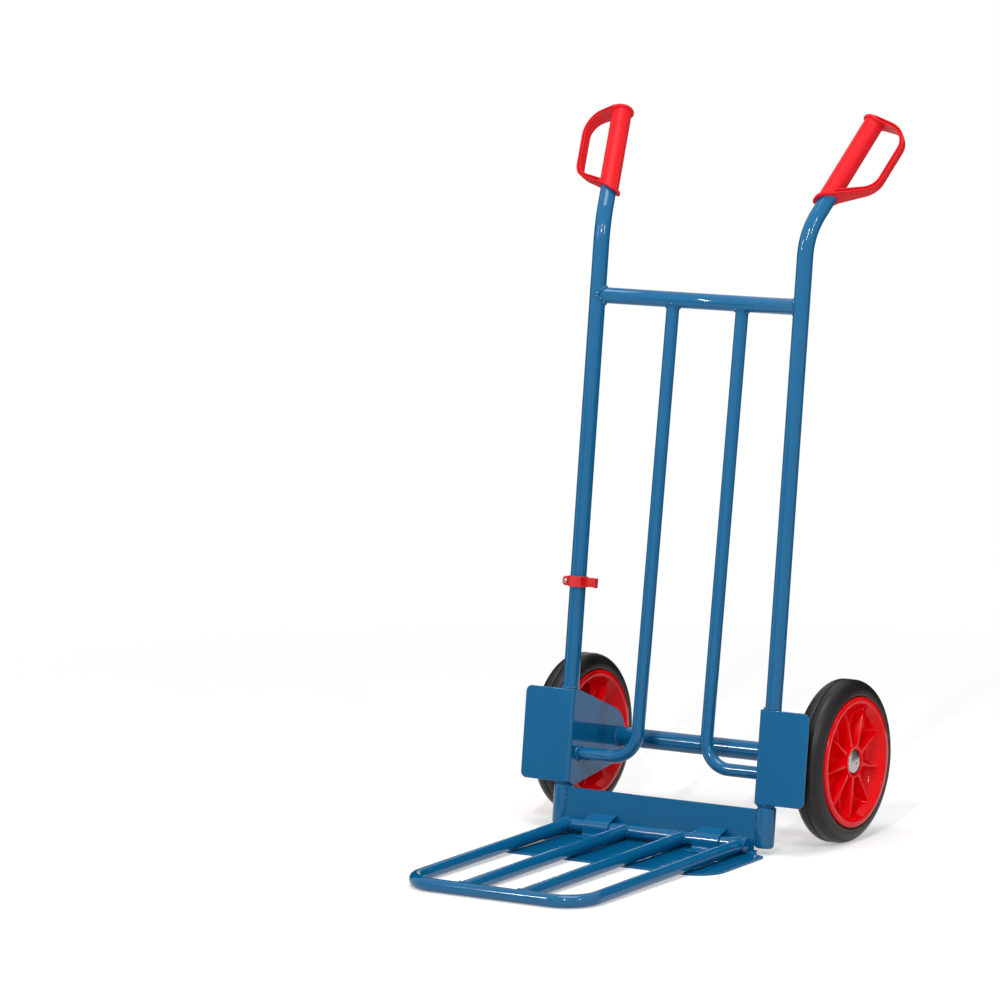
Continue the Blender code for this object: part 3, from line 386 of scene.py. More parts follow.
def makeWeldTree():  # overlapping ripples along each seam, sized by the seam's beadRadius
    sizes = (("Ripple Spacing", "Float"), ("Ripple Flatness", "Float"), ("Unevenness", "Float"), ("Seed", "Int"))
    tree, given = startTree("weldRipples", *sizes)
    path = addNode(tree, "GeometryNodeMeshToCurve", {"Mesh": given["Geometry"]})
    spacing = {"Curve": path, "Length": given["Ripple Spacing"]}
    spots = addNode(tree, "GeometryNodeCurveToPoints", spacing, mode="LENGTH")
    drop = addNode(tree, "GeometryNodeMeshIcoSphere", {"Radius": 1.0, "Subdivisions": 2})
    size = addNode(tree, "GeometryNodeInputNamedAttribute", {"Name": "beadRadius"}, data_type="FLOAT")
    least = addNode(tree, "ShaderNodeMath", {0: 1.0, 1: given["Unevenness"]}, operation="SUBTRACT")
    draw = {2: least, 3: 1.0, "Seed": given["Seed"]}
    varied = addNode(tree, "FunctionNodeRandomValue", draw, data_type="FLOAT").outputs[1]
    radius = addNode(tree, "ShaderNodeMath", {0: size, 1: varied}, operation="MULTIPLY")
    depth = addNode(tree, "ShaderNodeMath", {0: radius, 1: given["Ripple Flatness"]}, operation="MULTIPLY")
    scale = addNode(tree, "ShaderNodeCombineXYZ", {"X": radius, "Y": radius, "Z": depth})
    copies = {"Points": spots, "Instance": drop, "Rotation": spots.outputs["Rotation"], "Scale": scale}
    chain = addNode(tree, "GeometryNodeInstanceOnPoints", copies)
    return endTree(tree, chain, given["Finish"])


def makeSectorTree():  # one moulded sector turned round the axle, its seams closed
    tree, given = startTree("wheelSectors", ("Rib Count", "Int"), ("Seam Distance", "Float"))
    spots = addNode(tree, "GeometryNodePoints", {"Count": given["Rib Count"]})
    index = addNode(tree, "GeometryNodeInputIndex")
    step = addNode(tree, "ShaderNodeMath", {0: 2 * pi, 1: given["Rib Count"]}, operation="DIVIDE")
    turn = addNode(tree, "ShaderNodeMath", {0: index, 1: step}, operation="MULTIPLY")
    spin = addNode(tree, "ShaderNodeCombineXYZ", {"Z": turn})
    copies = {"Points": spots, "Instance": given["Geometry"], "Rotation": spin}
    chain = addNode(tree, "GeometryNodeInstanceOnPoints", copies)
    real = addNode(tree, "GeometryNodeRealizeInstances", {"Geometry": chain})
    seams = {"Geometry": real, "Distance": given["Seam Distance"]}
    whole = addNode(tree, "GeometryNodeMergeByDistance", seams)
    return endTree(tree, whole, given["Finish"])


tubeTree = makeTubeTree()
weldTree = makeWeldTree()
sectorTree = makeSectorTree()
print("node trees built:", len(bpy.data.node_groups))


def tubePiece(name, path, radius, body, node, facets=40):
    mesh = bpy.data.meshes.new("path")
    mesh.from_pydata([tuple(point) for point in path], [(k, k + 1) for k in range(len(path) - 1)], [])
    mesh = grown(mesh, tubeTree, {"Tube Radius": radius, "Round Sides": facets, "Finish": enamel})
    finishPiece(name, mesh, body, enamel, node)


# Frame tubes
stance = {"lean": radians(7.6), "footY": 100 * mm, "uprightX": 179.3 * mm}
lean = stance["lean"]
leanFrame = shift((0, stance["footY"], 0)) @ Matrix.Rotation(-lean, 4, "X")
upright = {
    "radius": 12.5 * mm,
    "foot": 12.3 * mm,
    "bendAlong": 938.2 * mm,
    "bendRadius": 115 * mm,
    "bendSteps": 24,
    "handleBack": radians(31.7),
    "handleSplay": radians(12.06),
}
grip = {
    "start": 61.3 * mm,
    "length": 154 * mm,
    "radius": 15.5 * mm,
    "flangeRadius": 18.8 * mm,
    "flangeDepth": 6.5 * mm,
    "endDepth": 9 * mm,
    "capRound": 4.5 * mm,
    "flangeRound": 0.8 * mm,
    "neckRound": 1.5 * mm,
    "footRound": 1.2 * mm,
    "footLift": 1 * mm,
    "footSlope": radians(32.5),
    "footZone": 2 * mm,  # how far above the lower flange the sleeve still lies aslant
    "boreCut": 60 * mm,
    "guardReach": 65.55 * mm,
    "guardHalf": 8.5 * mm,
    "rootHalf": 18.4 * mm,
    "rootX": 3 * mm,
    "inset": 0.5 * mm,
    "lowerRound": 37 * mm,
    "upperRound": 34 * mm,
    "guardSteps": 20,
    "roundSteps": 6,
    "facets": 56,
    "turn": radians(10),
}


def onUpright(side, along):
    return leanFrame @ shift((side * stance["uprightX"], 0, along))


def handleFrame(side):
    direction = Vector((sin(upright["handleSplay"]), 0, cos(upright["handleSplay"])))
    direction = Matrix.Rotation(-upright["handleBack"] - lean, 3, "X") @ direction
    outwards = (Vector((1, 0, 0)) - direction * direction.x).normalized()
    outwards = Quaternion(direction, grip["turn"]) @ outwards
    direction.x *= side
    outwards.x *= side
    bend = onUpright(side, upright["bendAlong"]).translation
    return axesFrame(outwards, direction.cross(outwards), direction, bend + direction * grip["start"])


for name, side in bothSides:
    foot = onUpright(side, upright["foot"]).translation
    bend = onUpright(side, upright["bendAlong"]).translation
    end = handleFrame(side) @ Vector((0, 0, grip["length"] - grip["endDepth"] - gap))
    path = roundPath((foot, bend, end), (0, upright["bendRadius"], 0), upright["bendSteps"])
    tubePiece(name + "UprightTube", path, upright["radius"], "frame", name + "_upright")

crossbar = {"height": 819.3 * mm, "radius": 12.5 * mm, "bow": 32.6 * mm, "steps": 48, "tuck": 6 * mm}
bowRadius = (stance["uprightX"] ** 2 + crossbar["bow"] ** 2) / (2 * crossbar["bow"])


def crossbarAxis(x):
    back = crossbar["bow"] - bowRadius + sqrt(bowRadius**2 - x**2)
    return leanFrame @ Vector((x, back, crossbar["height"] / cos(lean)))


def crossbarRun(x):
    return leanFrame.to_3x3() @ Vector((1, -x / sqrt(bowRadius**2 - x**2), 0)).normalized()


reach = stance["uprightX"] - crossbar["tuck"]  # its ends stop inside the uprights
steps = crossbar["steps"]
path = [crossbarAxis(reach * (2 * k / steps - 1)) for k in range(steps + 1)]
tubePiece("crossbarTube", path, crossbar["radius"], "frame", "crossbar")

innerBar = {
    "x": 60.9 * mm,
    "radius": 10 * mm,
    "footZ": 118 * mm,
    "behind": 10.7 * mm,
    "bendRadius": 42 * mm,
    "bendSteps": 20,
    "facets": 36,
}
plate = {
    "innerX": 163.5 * mm,
    "thickness": 3 * mm,
    "bendRadius": 6 * mm,
    "outerX": 250 * mm,
    "bottom": 75.5 * mm,
    "top": 219 * mm,
    "corner": 10 * mm,
    "cornerSteps": 10,
    "noseBehind": 101 * mm,
    "noseAlong": 144.5 * mm,
    "noseRadius": 46 * mm,
    "noseSteps": 48,
    "taper": radians(15),
    "edge": 1.1 * mm,
    "spare": 40 * mm,  # from here on: places and depths of its rough shape and cutters
    "cutX": 207 * mm,
    "legCut": 120 * mm,
    "wingCut": 400 * mm,
    "holeCut": 60 * mm,
    "holeFacets": 48,
    "insideX": 150 * mm,
    "stepX": 175 * mm,
    "stepAlong": 40 * mm,
}
innerBarFootY = stance["footY"] + innerBar["footZ"] * tan(lean) + innerBar["behind"]
tubeEnd = plate["innerX"] - gap
for name, side in bothSides:
    top = crossbarAxis(side * innerBar["x"])
    corner = Vector((side * innerBar["x"], innerBarFootY, innerBar["footZ"]))
    end = Vector((side * tubeEnd, innerBarFootY, innerBar["footZ"]))
    path = roundPath((top, corner, end), (0, innerBar["bendRadius"], 0), innerBar["bendSteps"])
    tubePiece(name + "InnerBarTube", path, innerBar["radius"], "frame", name + "_inner_bar", innerBar["facets"])

axle = {"y": 249 * mm, "radius": 10 * mm, "tubeRadius": 15 * mm, "edge": 0.8 * mm, "facets": 40, "tubeFacets": 48}
wheelRadius = 125 * mm
path = [(x, axle["y"], wheelRadius) for x in (-tubeEnd, tubeEnd)]
tubePiece("axleSleeve", path, axle["tubeRadius"], "frame", "axle_tube", axle["tubeFacets"])

socket = {"radius": 15 * mm, "bottom": 9 * mm, "top": 69.5 * mm, "floor": 3 * mm, "round": 6 * mm, "lip": 1 * mm}
socket |= {"roundSteps": 7, "facets": 48}
for name, side in bothSides:
    r, low, top, bore = socket["radius"], socket["bottom"], socket["top"], upright["radius"] + gap
    outside = ((bore, top), (r, top), (r, low), (0, low))
    profile = roundPath(outside, (0, socket["lip"], socket["round"], 0), socket["roundSteps"])
    profile += [(0, low + socket["floor"]), (bore, low + socket["floor"])]
    mesh = lathe(profile, socket["facets"], onUpright(side, 0), closed=True)
    finishPiece(name + "FootCup", mesh, "frame", enamel, name + "_foot_socket")
print("frame tubes done")

# Bent sheet: side plates, toe plate, hinge straps


def sheetSection(line, radius, thickness, steps=10):  # both faces of a sheet bent once, outer corner first
    first, corner, last = [Vector(point) for point in line]
    before, after = (first - corner).normalized(), (last - corner).normalized()
    inward = (before + after) * thickness / sin(before.angle(after))
    outer = roundPath((first, corner, last), (0, radius, 0), steps)
    ends = []
    for start, other in ((first, after), (last, before)):
        run = (corner - start).normalized()
        ends.append(start + (other - run * other.dot(run)).normalized() * thickness)
    return outer + roundPath((ends[1], corner + inward, ends[0]), (0, radius - thickness, 0), steps)


low, top, behind, noseRadius = plate["bottom"], plate["top"], plate["noseBehind"], plate["noseRadius"]
front = -upright["radius"] - gap - plate["thickness"]
halfFront = noseRadius / cos(plate["taper"]) + behind * tan(plate["taper"])
blank = [(front - margin, low), (front + plate["bendRadius"], low), (0, plate["noseAlong"] - halfFront)]
for k in range(plate["noseSteps"] + 1):
    turn = (pi / 2 - plate["taper"]) * (2 * k / plate["noseSteps"] - 1)
    blank.append((behind + noseRadius * cos(turn), plate["noseAlong"] + noseRadius * sin(turn)))
blank += [(0, top), (front - margin, top)]
for name, side in bothSides:
    inner, outer, cutX = side * plate["innerX"], side * plate["outerX"], side * plate["cutX"]
    line = ((outer, front), (inner, front), (inner, behind + noseRadius + margin))
    section = sheetSection(line, plate["bendRadius"], plate["thickness"])
    mesh = slab(section, top - low + plate["spare"], leanFrame @ shift((0, 0, (top + low) / 2)))
    leg = slab(blank, plate["legCut"], leanFrame @ acrossFrame(cutX))
    inside, step, stepAlong = side * plate["insideX"], side * plate["stepX"], plate["stepAlong"]
    face = ((inside, stepAlong), (step, stepAlong), (step, low), (outer, low), (outer, top), (inside, top))
    face = roundPath(face, (0, 0, 0, plate["corner"], plate["corner"], 0), plate["cornerSteps"])
    wing = slab(face, plate["wingCut"], leanFrame @ upRight)
    holePlace = acrossFrame(cutX, axle["y"], wheelRadius)
    hole = plug(axle["radius"] + gap, -plate["holeCut"], plate["holeCut"], plate["holeFacets"], holePlace)
    mesh = combined(mesh, (("INTERSECT", leg), ("INTERSECT", wing), ("DIFFERENCE", hole)))
    mesh = softened(mesh, plate["edge"])
    finishPiece(name + "BentSidePlate", mesh, "frame", enamel, name + "_side_plate", sharp=None)

toe = {
    "thickness": 3.5 * mm,
    "frontY": -92 * mm,
    "frontHalf": 198.5 * mm,
    "rearHalf": 195 * mm,
    "earY": 73 * mm,
    "heelHalf": 172 * mm,
    "corner": 45 * mm,
    "earRound": 4 * mm,
    "bendRadius": 7 * mm,
    "skirtFront": 10.9 * mm,
    "skirtTop": 68.8 * mm,
    "edge": 1 * mm,
    "cornerSteps": 16,
    "seatBelow": 2.5 * mm,  # from here on: its cutters
    "seatFacets": 64,
    "trimDepth": 300 * mm,
    "trimSize": 1.0,
}
tilt = tan(lean)
skirtFoot = stance["footY"] - toe["skirtFront"] / cos(lean)
heelY = skirtFoot + toe["thickness"] / cos(lean)
line = ((toe["frontY"] - margin, 0), (heelY, 0), (heelY + toe["skirtTop"] * tilt, toe["skirtTop"]))
section = sheetSection(line, toe["bendRadius"], toe["thickness"])
mesh = slab(section, 2 * (toe["frontHalf"] + margin), acrossFrame(0))
right = [
    (toe["frontHalf"], toe["frontY"]),
    (toe["rearHalf"], toe["earY"]),
    (toe["heelHalf"], stance["footY"] - socket["radius"]),
    (toe["heelHalf"], stance["footY"] + toe["skirtTop"]),
]
left = [(-x, y) for x, y in reversed(right)]
rounds = (toe["corner"], toe["earRound"], 0, 0)
outline = roundPath(right + left, rounds + rounds[::-1], toe["cornerSteps"])
large = toe["trimSize"]
overTop = slab(rectangle(-large, large, -large, large), large, shift((0, 0, toe["skirtTop"] + large / 2)))
trims = [("INTERSECT", slab(outline, toe["trimDepth"])), ("DIFFERENCE", overTop)]
for side in (-1, 1):
    low, high = socket["bottom"] - toe["seatBelow"], socket["top"] + margin
    seat = plug(socket["radius"] + gap, low, high, toe["seatFacets"], onUpright(side, 0))
    trims.append(("DIFFERENCE", seat))
mesh = softened(combined(mesh, trims), toe["edge"])
finishPiece("toeBladeAndSkirt", mesh, "frame", enamel, "toe_plate", sharp=None)

extension = {
    "hingeY": 77.1 * mm,
    "hingeZ": 16 * mm,
    "slope": radians(0.69),
    "length": 464.2 * mm,
    "radius": 10 * mm,
    "halfWidth": 152.4 * mm,
    "barX": 50.4 * mm,
    "corner": 50 * mm,
    "cornerSteps": 24,
    "hingeHalf": 163.5 * mm,
}
strap = {
    "x": 97.2 * mm,
    "width": 45 * mm,
    "thickness": 2.5 * mm,
    "foot": 24 * mm,
    "footBend": 3 * mm,
    "bendSteps": 14,
    "rise": radians(20),
    "edge": 0.5 * mm,
}
centre = extension["radius"] + gap + strap["thickness"] / 2
floorLine = toe["thickness"] + gap + strap["thickness"] / 2
along = Vector((cos(strap["rise"]), sin(strap["rise"])))
crown = Vector((-along.y, along.x)) * centre
skirtY = skirtFoot - extension["hingeY"]
run = (skirtY + (extension["hingeZ"] + crown.y) * tilt - crown.x) / (along.x - along.y * tilt)
tail = crown + along * (run - strap["thickness"] / 2)
shoulder = crown - along * (centre + crown.x) / along.x
heel = Vector((-centre, floorLine - extension["hingeZ"]))
toeEnd = heel - Vector((strap["foot"], 0))
spine = roundPath((tail, shoulder, heel, toeEnd), (0, centre, strap["footBend"], 0), strap["bendSteps"])
above, below = [], []
for k, point in enumerate(spine):
    lead = (spine[min(k + 1, len(spine) - 1)] - spine[max(k - 1, 0)]).normalized()
    offset = Vector((-lead.y, lead.x)) * strap["thickness"] / 2
    above.append(point + offset)
    below.append(point - offset)
for name, side in bothSides:
    place = acrossFrame(side * strap["x"], extension["hingeY"], extension["hingeZ"])
    mesh = softened(slab(above + below[::-1], strap["width"], place), strap["edge"])
    finishPiece(name + "StrapSaddle", mesh, "frame", enamel, name + "_hinge_strap", sharp=None)
print("bent sheet done")

# Folding extension
hingeFrame = shift((0, extension["hingeY"], extension["hingeZ"])) @ Matrix.Rotation(extension["slope"], 4, "X")


def onHinge(x, y):
    return hingeFrame @ Vector((x, y, 0))


half, length, barX, radius = (extension[key] for key in ("halfWidth", "length", "barX", "radius"))
path = [onHinge(x * extension["hingeHalf"], 0) for x in (-1, 1)]
tubePiece("extensionHingeBar", path, radius, "extension", "extension_hinge_tube")
corners = [onHinge(-half, 0), onHinge(-half, -length), onHinge(half, -length), onHinge(half, 0)]
path = roundPath(corners, (0, extension["corner"], extension["corner"], 0), extension["cornerSteps"])
tubePiece("extensionOuterLoop", path, radius, "extension", "extension_loop")
for name, side in bothSides:
    path = [onHinge(side * barX, 0), onHinge(side * barX, -length)]
    tubePiece("extension" + name.capitalize() + "Rail", path, radius, "extension", "extension_" + name + "_bar")
print("extension done")

# Weld beads, painted over with the frame
weld = {
    "spacing": 2.3 * mm,
    "flatness": 0.72,
    "unevenness": 0.45,
    "big": 3.6 * mm,
    "middle": 3 * mm,
    "small": 2.4 * mm,
    "floorClear": 0.5 * mm,
    "proud": 0.4 * mm,  # of the upright, round the foot cup
    "plateLift": 1.2 * mm,
    "plateArc": 66,  # degrees to each side of the front
    "plateStep": 6,
    "skirtLow": 14 * mm,
    "skirtStep": 1.5 * mm,
    "skirtCount": 36,
}


def ringSeam(centre, axis, radius, steps=36):
    e1 = axis.orthogonal().normalized()
    e2 = axis.normalized().cross(e1)
    return [centre + (e1 * cos(turn) + e2 * sin(turn)) * radius for turn in circle(steps)]


def saddleSeam(root, branch, branchRadius, mainRun, mainRadius, steps=40):  # where one tube meets another
    branch, mainRun = branch.normalized(), mainRun.normalized()
    across = branch - mainRun * branch.dot(mainRun)
    seam = []
    for start in ringSeam(Vector(), branch, branchRadius, steps):
        offset = start - mainRun * start.dot(mainRun)
        a, b, c = across.dot(across), 2 * across.dot(offset), offset.dot(offset) - mainRadius**2
        t = (-b + sqrt(max(0, b * b - 4 * a * c))) / (2 * a)
        seam.append(root + start + branch * t)
    return seam


def weldPiece(name, seams, body, seed):  # seams: (points, closed, bead radius)
    points, edges, sizes = [], [], []
    for seam, closed, size in seams:
        lowest = min(range(len(seam)), key=lambda k: seam[k].z)
        turned = seam[lowest:] + seam[:lowest]
        clear = [point for point in turned if point.z > size + weld["floorClear"]]
        if len(clear) < len(seam):  # none on the underside, next to the floor
            seam, closed = clear, False
        start = len(points)
        points += [tuple(point) for point in seam]
        sizes += [size] * len(seam)
        edges += [(start + k, start + k + 1) for k in range(len(seam) - 1)]
        if closed:
            edges.append((start + len(seam) - 1, start))
    mesh = bpy.data.meshes.new("seams")
    mesh.from_pydata(points, edges, [])
    mesh.attributes.new("beadRadius", "FLOAT", "POINT").data.foreach_set("value", sizes)
    values = {"Ripple Spacing": weld["spacing"], "Ripple Flatness": weld["flatness"]}
    values |= {"Unevenness": weld["unevenness"], "Seed": seed, "Finish": enamel}
    beads = grown(mesh, weldTree, values)
    if "beadRadius" in beads.attributes:
        beads.attributes.remove(beads.attributes["beadRadius"])
    finishPiece(name, beads, body, enamel, sharp=None)


seams = []
acrossX = Vector((1, 0, 0))
uprightRun = leanFrame.to_3x3() @ Vector((0, 0, 1))
beside = stance["uprightX"] - sqrt((socket["radius"] + gap) ** 2 - toe["skirtFront"] ** 2)
arc = [radians(turn) for turn in range(-weld["plateArc"], weld["plateArc"] + 1, weld["plateStep"])]
for side in (-1, 1):
    x = side * stance["uprightX"]
    seam = saddleSeam(crossbarAxis(x), crossbarRun(x) * -side, crossbar["radius"], uprightRun, upright["radius"])
    seams.append((seam, True, weld["big"]))
    x = side * innerBar["x"]
    top = crossbarAxis(x)
    down = Vector((x, innerBarFootY, innerBar["footZ"])) - top
    seam = saddleSeam(top, down, innerBar["radius"], crossbarRun(x), crossbar["radius"])
    seams.append((seam, True, weld["middle"]))
    foot = Vector((side * tubeEnd, innerBarFootY, innerBar["footZ"]))
    seams.append((ringSeam(foot, acrossX, innerBar["radius"]), True, weld["middle"]))
    end = Vector((side * tubeEnd, axle["y"], wheelRadius))
    seams.append((ringSeam(end, acrossX, axle["tubeRadius"]), True, weld["middle"]))
    rim = onUpright(side, socket["top"]).translation
    seams.append((ringSeam(rim, uprightRun, upright["radius"] + weld["proud"]), True, weld["small"]))
    for along in (plate["top"] + weld["plateLift"], plate["bottom"] - weld["plateLift"]):
        place = onUpright(side, along)
        seam = [place @ (Vector((sin(turn), -cos(turn), 0)) * upright["radius"]) for turn in arc]
        seams.append((seam, False, weld["middle"]))
    heights = [weld["skirtLow"] + weld["skirtStep"] * k for k in range(weld["skirtCount"])]
    seam = [leanFrame @ Vector((side * beside, -toe["skirtFront"], height)) for height in heights]
    seams.append((seam, False, weld["small"]))
weldPiece("frameWeldBeads", seams, "frame", seed=7)

forward = hingeFrame.to_3x3() @ Vector((0, -1, 0))
joints = [(x, 0, forward) for x in (-half, -barX, barX, half)] + [(x, -length, -forward) for x in (-barX, barX)]
seams = [(saddleSeam(onHinge(x, y), run, radius, acrossX, radius), True, weld["small"]) for x, y, run in joints]
weldPiece("extensionWeldBeads", seams, "extension", seed=11)
print("welds done")

# Grips with their knuckle guards
bandSection = (  # across from the front edge to the back one, and depth below the outer face, in mm
    (-8.2, 6.75), (-8.5, 6.4), (-8.5, 5.5), (-8.1, 5.1), (-5.1, 4.8), (-4.6, 4.3), (-4.6, 2.5),
    (-5.1, 2.0), (-8.1, 1.75), (-8.5, 1.4), (-8.5, 0.6), (-8.2, 0.2), (-7.6, 0.0), (-6.4, 0.05),
    (0.0, 0.3), (4.4, 0.6), (7.2, 0.9), (8.1, 1.4), (8.5, 2.2), (8.5, 3.8), (8.1, 4.7), (7.2, 5.1),
    (0.0, 5.3), (-4.6, 5.9), (-6.4, 6.6), (-7.4, 6.9),
)
bandCore = 5  # mm to each side of the middle that take up the widening towards the roots


def guardMesh(side):  # a beaded band from the sloping foot plate round to the top cap
    slope, reach, root = tan(grip["footSlope"]), grip["guardReach"], grip["rootX"]
    low, high = grip["footLift"] + grip["inset"], grip["length"] - grip["inset"]
    corners = ((root, low + slope * root), (reach, low + slope * reach), (reach, high), (root, high))
    line = roundPath(corners, (0, grip["lowerRound"], grip["upperRound"], 0), grip["guardSteps"])
    points = []
    for k, point in enumerate(line):
        run = (line[min(k + 1, len(line) - 1)] - line[max(k - 1, 0)]).normalized()
        spread = (reach - point.x) / (reach - root) * (grip["rootHalf"] - grip["guardHalf"])
        for across, depth in bandSection:
            wide = across * mm + spread * max(-1, min(1, across / bandCore))
            inwards = point + Vector((-run.y, run.x)) * depth * mm
            points.append((inwards.x, side * wide, inwards.y))
    count = len(bandSection)
    caps = [list(range(count)), list(range(len(points) - count, len(points)))]
    return meshFrom(points, caps + gridFaces(len(line), count, False, True))


bore, top, end = upright["radius"] + gap, grip["length"], grip["length"] - grip["endDepth"]
r, wide, deep = grip["radius"], grip["flangeRadius"], grip["flangeDepth"]
outside = [(0, top), (wide, top), (wide, top - deep), (r, top - deep), (r, deep), (wide, deep), (wide, 0), (0, 0)]
rounds = [grip[key + "Round"] for key in ("cap", "flange", "neck", "neck", "flange", "foot")]
profile = roundPath(outside, [0, *rounds, 0], grip["roundSteps"])
for name, side in bothSides:
    sleeve = lathe(profile, grip["facets"])
    for point in sleeve.vertices:
        if point.co.z < deep + grip["footZone"]:  # the foot plate lies aslant, in line with the guard's lower leg
            point.co.z += grip["footLift"] + tan(grip["footSlope"]) * point.co.x
    hollow = plug(bore, -grip["boreCut"], end, grip["facets"])
    mesh = combined(sleeve, (("UNION", guardMesh(side)), ("DIFFERENCE", hollow)))
    mesh.transform(handleFrame(side))
    finishPiece(name + "GripAndGuard", mesh, "frame", gripPlastic, name + "_grip", sharp=42)
print("grips done")

# Clip on the left upright
clip = {
    "along": 384.4 * mm,
    "height": 16.4 * mm,
    "radius": 15.4 * mm,
    "jawInner": 10.6 * mm,
    "jawThickness": 2.8 * mm,
    "jawReach": 9 * mm,
    "jawHeight": 14.6 * mm,
    "jawSteps": 24,
    "lip": 5 * mm,
    "lugReach": 22.9 * mm,
    "lugHeight": 15 * mm,
    "lugDepth": 18 * mm,
    "lugRound": 6 * mm,
    "lugSteps": 10,
    "facets": 72,
    "slit": 2 * mm,
    "slitFrom": -40 * mm,
    "slitTo": -4 * mm,
    "armHalf": 5 * mm,
    "armStep": 0.5 * mm,  # how much lower the arm is than the band
    "armStart": 0.3 * mm,  # how far the arm and the lugs stay clear of the bore
    "armEnd": 0.6 * mm,  # and the arm of the jaw's inside
    "foldLean": radians(2.1),
    "screwOut": 17.2 * mm,
    "edge": 0.6 * mm,
}
screw = {
    "radius": 2 * mm,
    "headRadius": 3.5 * mm,
    "headDepth": 2.4 * mm,
    "headEdge": 0.6 * mm,
    "headSteps": 8,
    "headCurve": (0.8, 0.7),  # powers that square up the dome, across and up
    "tipEdge": 0.5 * mm,
    "slotTurn": 0.4,
    "slotWidth": 0.8 * mm,
    "slotDepth": 1.1 * mm,
    "slotHalf": 2 * mm,
    "nutRadius": 4 * mm,
    "nutDepth": 3.2 * mm,
    "nutEdge": 0.35 * mm,
    "nutCut": 9 * mm,
    "facets": 32,
    "holeFacets": 24,
}
clipFrame = onUpright(-1, clip["along"])
hingeOnLean = leanFrame.inverted() @ Vector((0, extension["hingeY"], extension["hingeZ"]))
jawAhead = -hingeOnLean.y - (clip["along"] - hingeOnLean.z) * tan(clip["foldLean"])
jawX = stance["uprightX"] - extension["halfWidth"]
tall, s = clip["height"], clip["slit"] / 2
mesh = lathe(rectangle(bore, clip["radius"], -tall / 2, tall / 2), clip["facets"], closed=True)
slit = slab(rectangle(clip["slitFrom"], clip["slitTo"], -s, s), 2 * tall)
start, reach, high = -bore - clip["armStart"], -clip["lugReach"], clip["lugHeight"] / 2
lug = ((start, -high), (start, high), (reach, high), (reach, -high))
lug = roundPath(lug, (0, 0, clip["lugRound"], clip["lugRound"]), clip["lugSteps"])
deep = clip["lugDepth"] / 2 - s
lugs = [slab(lug, deep, shift((0, t * (s + deep / 2), 0)) @ upRight) for t in (-1, 1)]
inner, reach, lip = clip["jawInner"], -clip["jawReach"], clip["lip"] / 2
wide = inner + clip["jawThickness"]
armY, armHalf = inner / 2 - jawAhead, clip["armHalf"]
arm = rectangle(bore + clip["armStart"], jawX - inner - clip["armEnd"], armY - armHalf, armY + armHalf)
turns = [pi * k / clip["jawSteps"] for k in range(clip["jawSteps"] + 1)]
jaw = [(wide + lip, reach), (wide, reach + 2 * lip)] + [(wide * cos(t), wide * sin(t)) for t in turns]
jaw += [(-wide, reach), (-inner, reach)] + [(inner * cos(t), inner * sin(t)) for t in reversed(turns)]
jaw += [(inner, reach + 2 * lip), (inner + lip, reach)]
screwFrame = shift((-clip["screwOut"], 0, 0)) @ upRight
hole = screw["radius"] + gap
steps = [("DIFFERENCE", slit), ("UNION", lugs[0]), ("UNION", lugs[1])]
steps.append(("UNION", slab(arm, tall - clip["armStep"])))
steps.append(("UNION", slab(jaw, clip["jawHeight"], shift((jawX, -jawAhead, 0)))))
steps.append(("DIFFERENCE", plug(hole, -tall, tall, screw["holeFacets"], screwFrame)))
mesh = softened(combined(mesh, steps), clip["edge"])
mesh.transform(clipFrame)
finishPiece("clipBandAndJaw", mesh, "frame", clipNylon, "clip", sharp=None)

screwFrame = clipFrame @ screwFrame
r, headDepth, headEdge = screw["radius"], screw["headDepth"], screw["headEdge"]
seat = clip["lugDepth"] / 2 + gap
tip = -seat - screw["nutDepth"] - r
dome = [(0, seat + headDepth)]
for k in range(1, screw["headSteps"] + 1):
    turn = radians(90 - 90 * k / screw["headSteps"])
    rise = headEdge + (headDepth - headEdge) * sin(turn) ** screw["headCurve"][1]
    dome.append((screw["headRadius"] * cos(turn) ** screw["headCurve"][0], seat + rise))
e = screw["tipEdge"]
shank = [(screw["headRadius"], seat), (r, seat), (r, tip + e), (r - e, tip), (0, tip)]
mesh = lathe(dome + shank, screw["facets"], screwFrame)
slot = rectangle(-screw["slotHalf"], screw["slotHalf"], -screw["slotWidth"] / 2, screw["slotWidth"] / 2)
cross = []
for turn in (screw["slotTurn"], screw["slotTurn"] + pi / 2):
    place = screwFrame @ shift((0, 0, seat + headDepth)) @ Matrix.Rotation(turn, 4, "Z")
    cross.append(("DIFFERENCE", slab(slot, 2 * screw["slotDepth"], place)))
finishPiece("clipPanScrew", combined(mesh, cross), "frame", zinc, "clip_screw")

place = screwFrame @ shift((0, 0, -seat - screw["nutDepth"] / 2))
hexagon = [(screw["nutRadius"] * cos(turn), screw["nutRadius"] * sin(turn)) for turn in circle(6)]
nutBore = plug(hole, -screw["nutCut"], screw["nutCut"], screw["holeFacets"], place)
mesh = combined(slab(hexagon, screw["nutDepth"], place), (("DIFFERENCE", nutBore),))
finishPiece("clipHexNut", softened(mesh, screw["nutEdge"]), "frame", zinc, "clip_nut", sharp=None)
print("clip done")

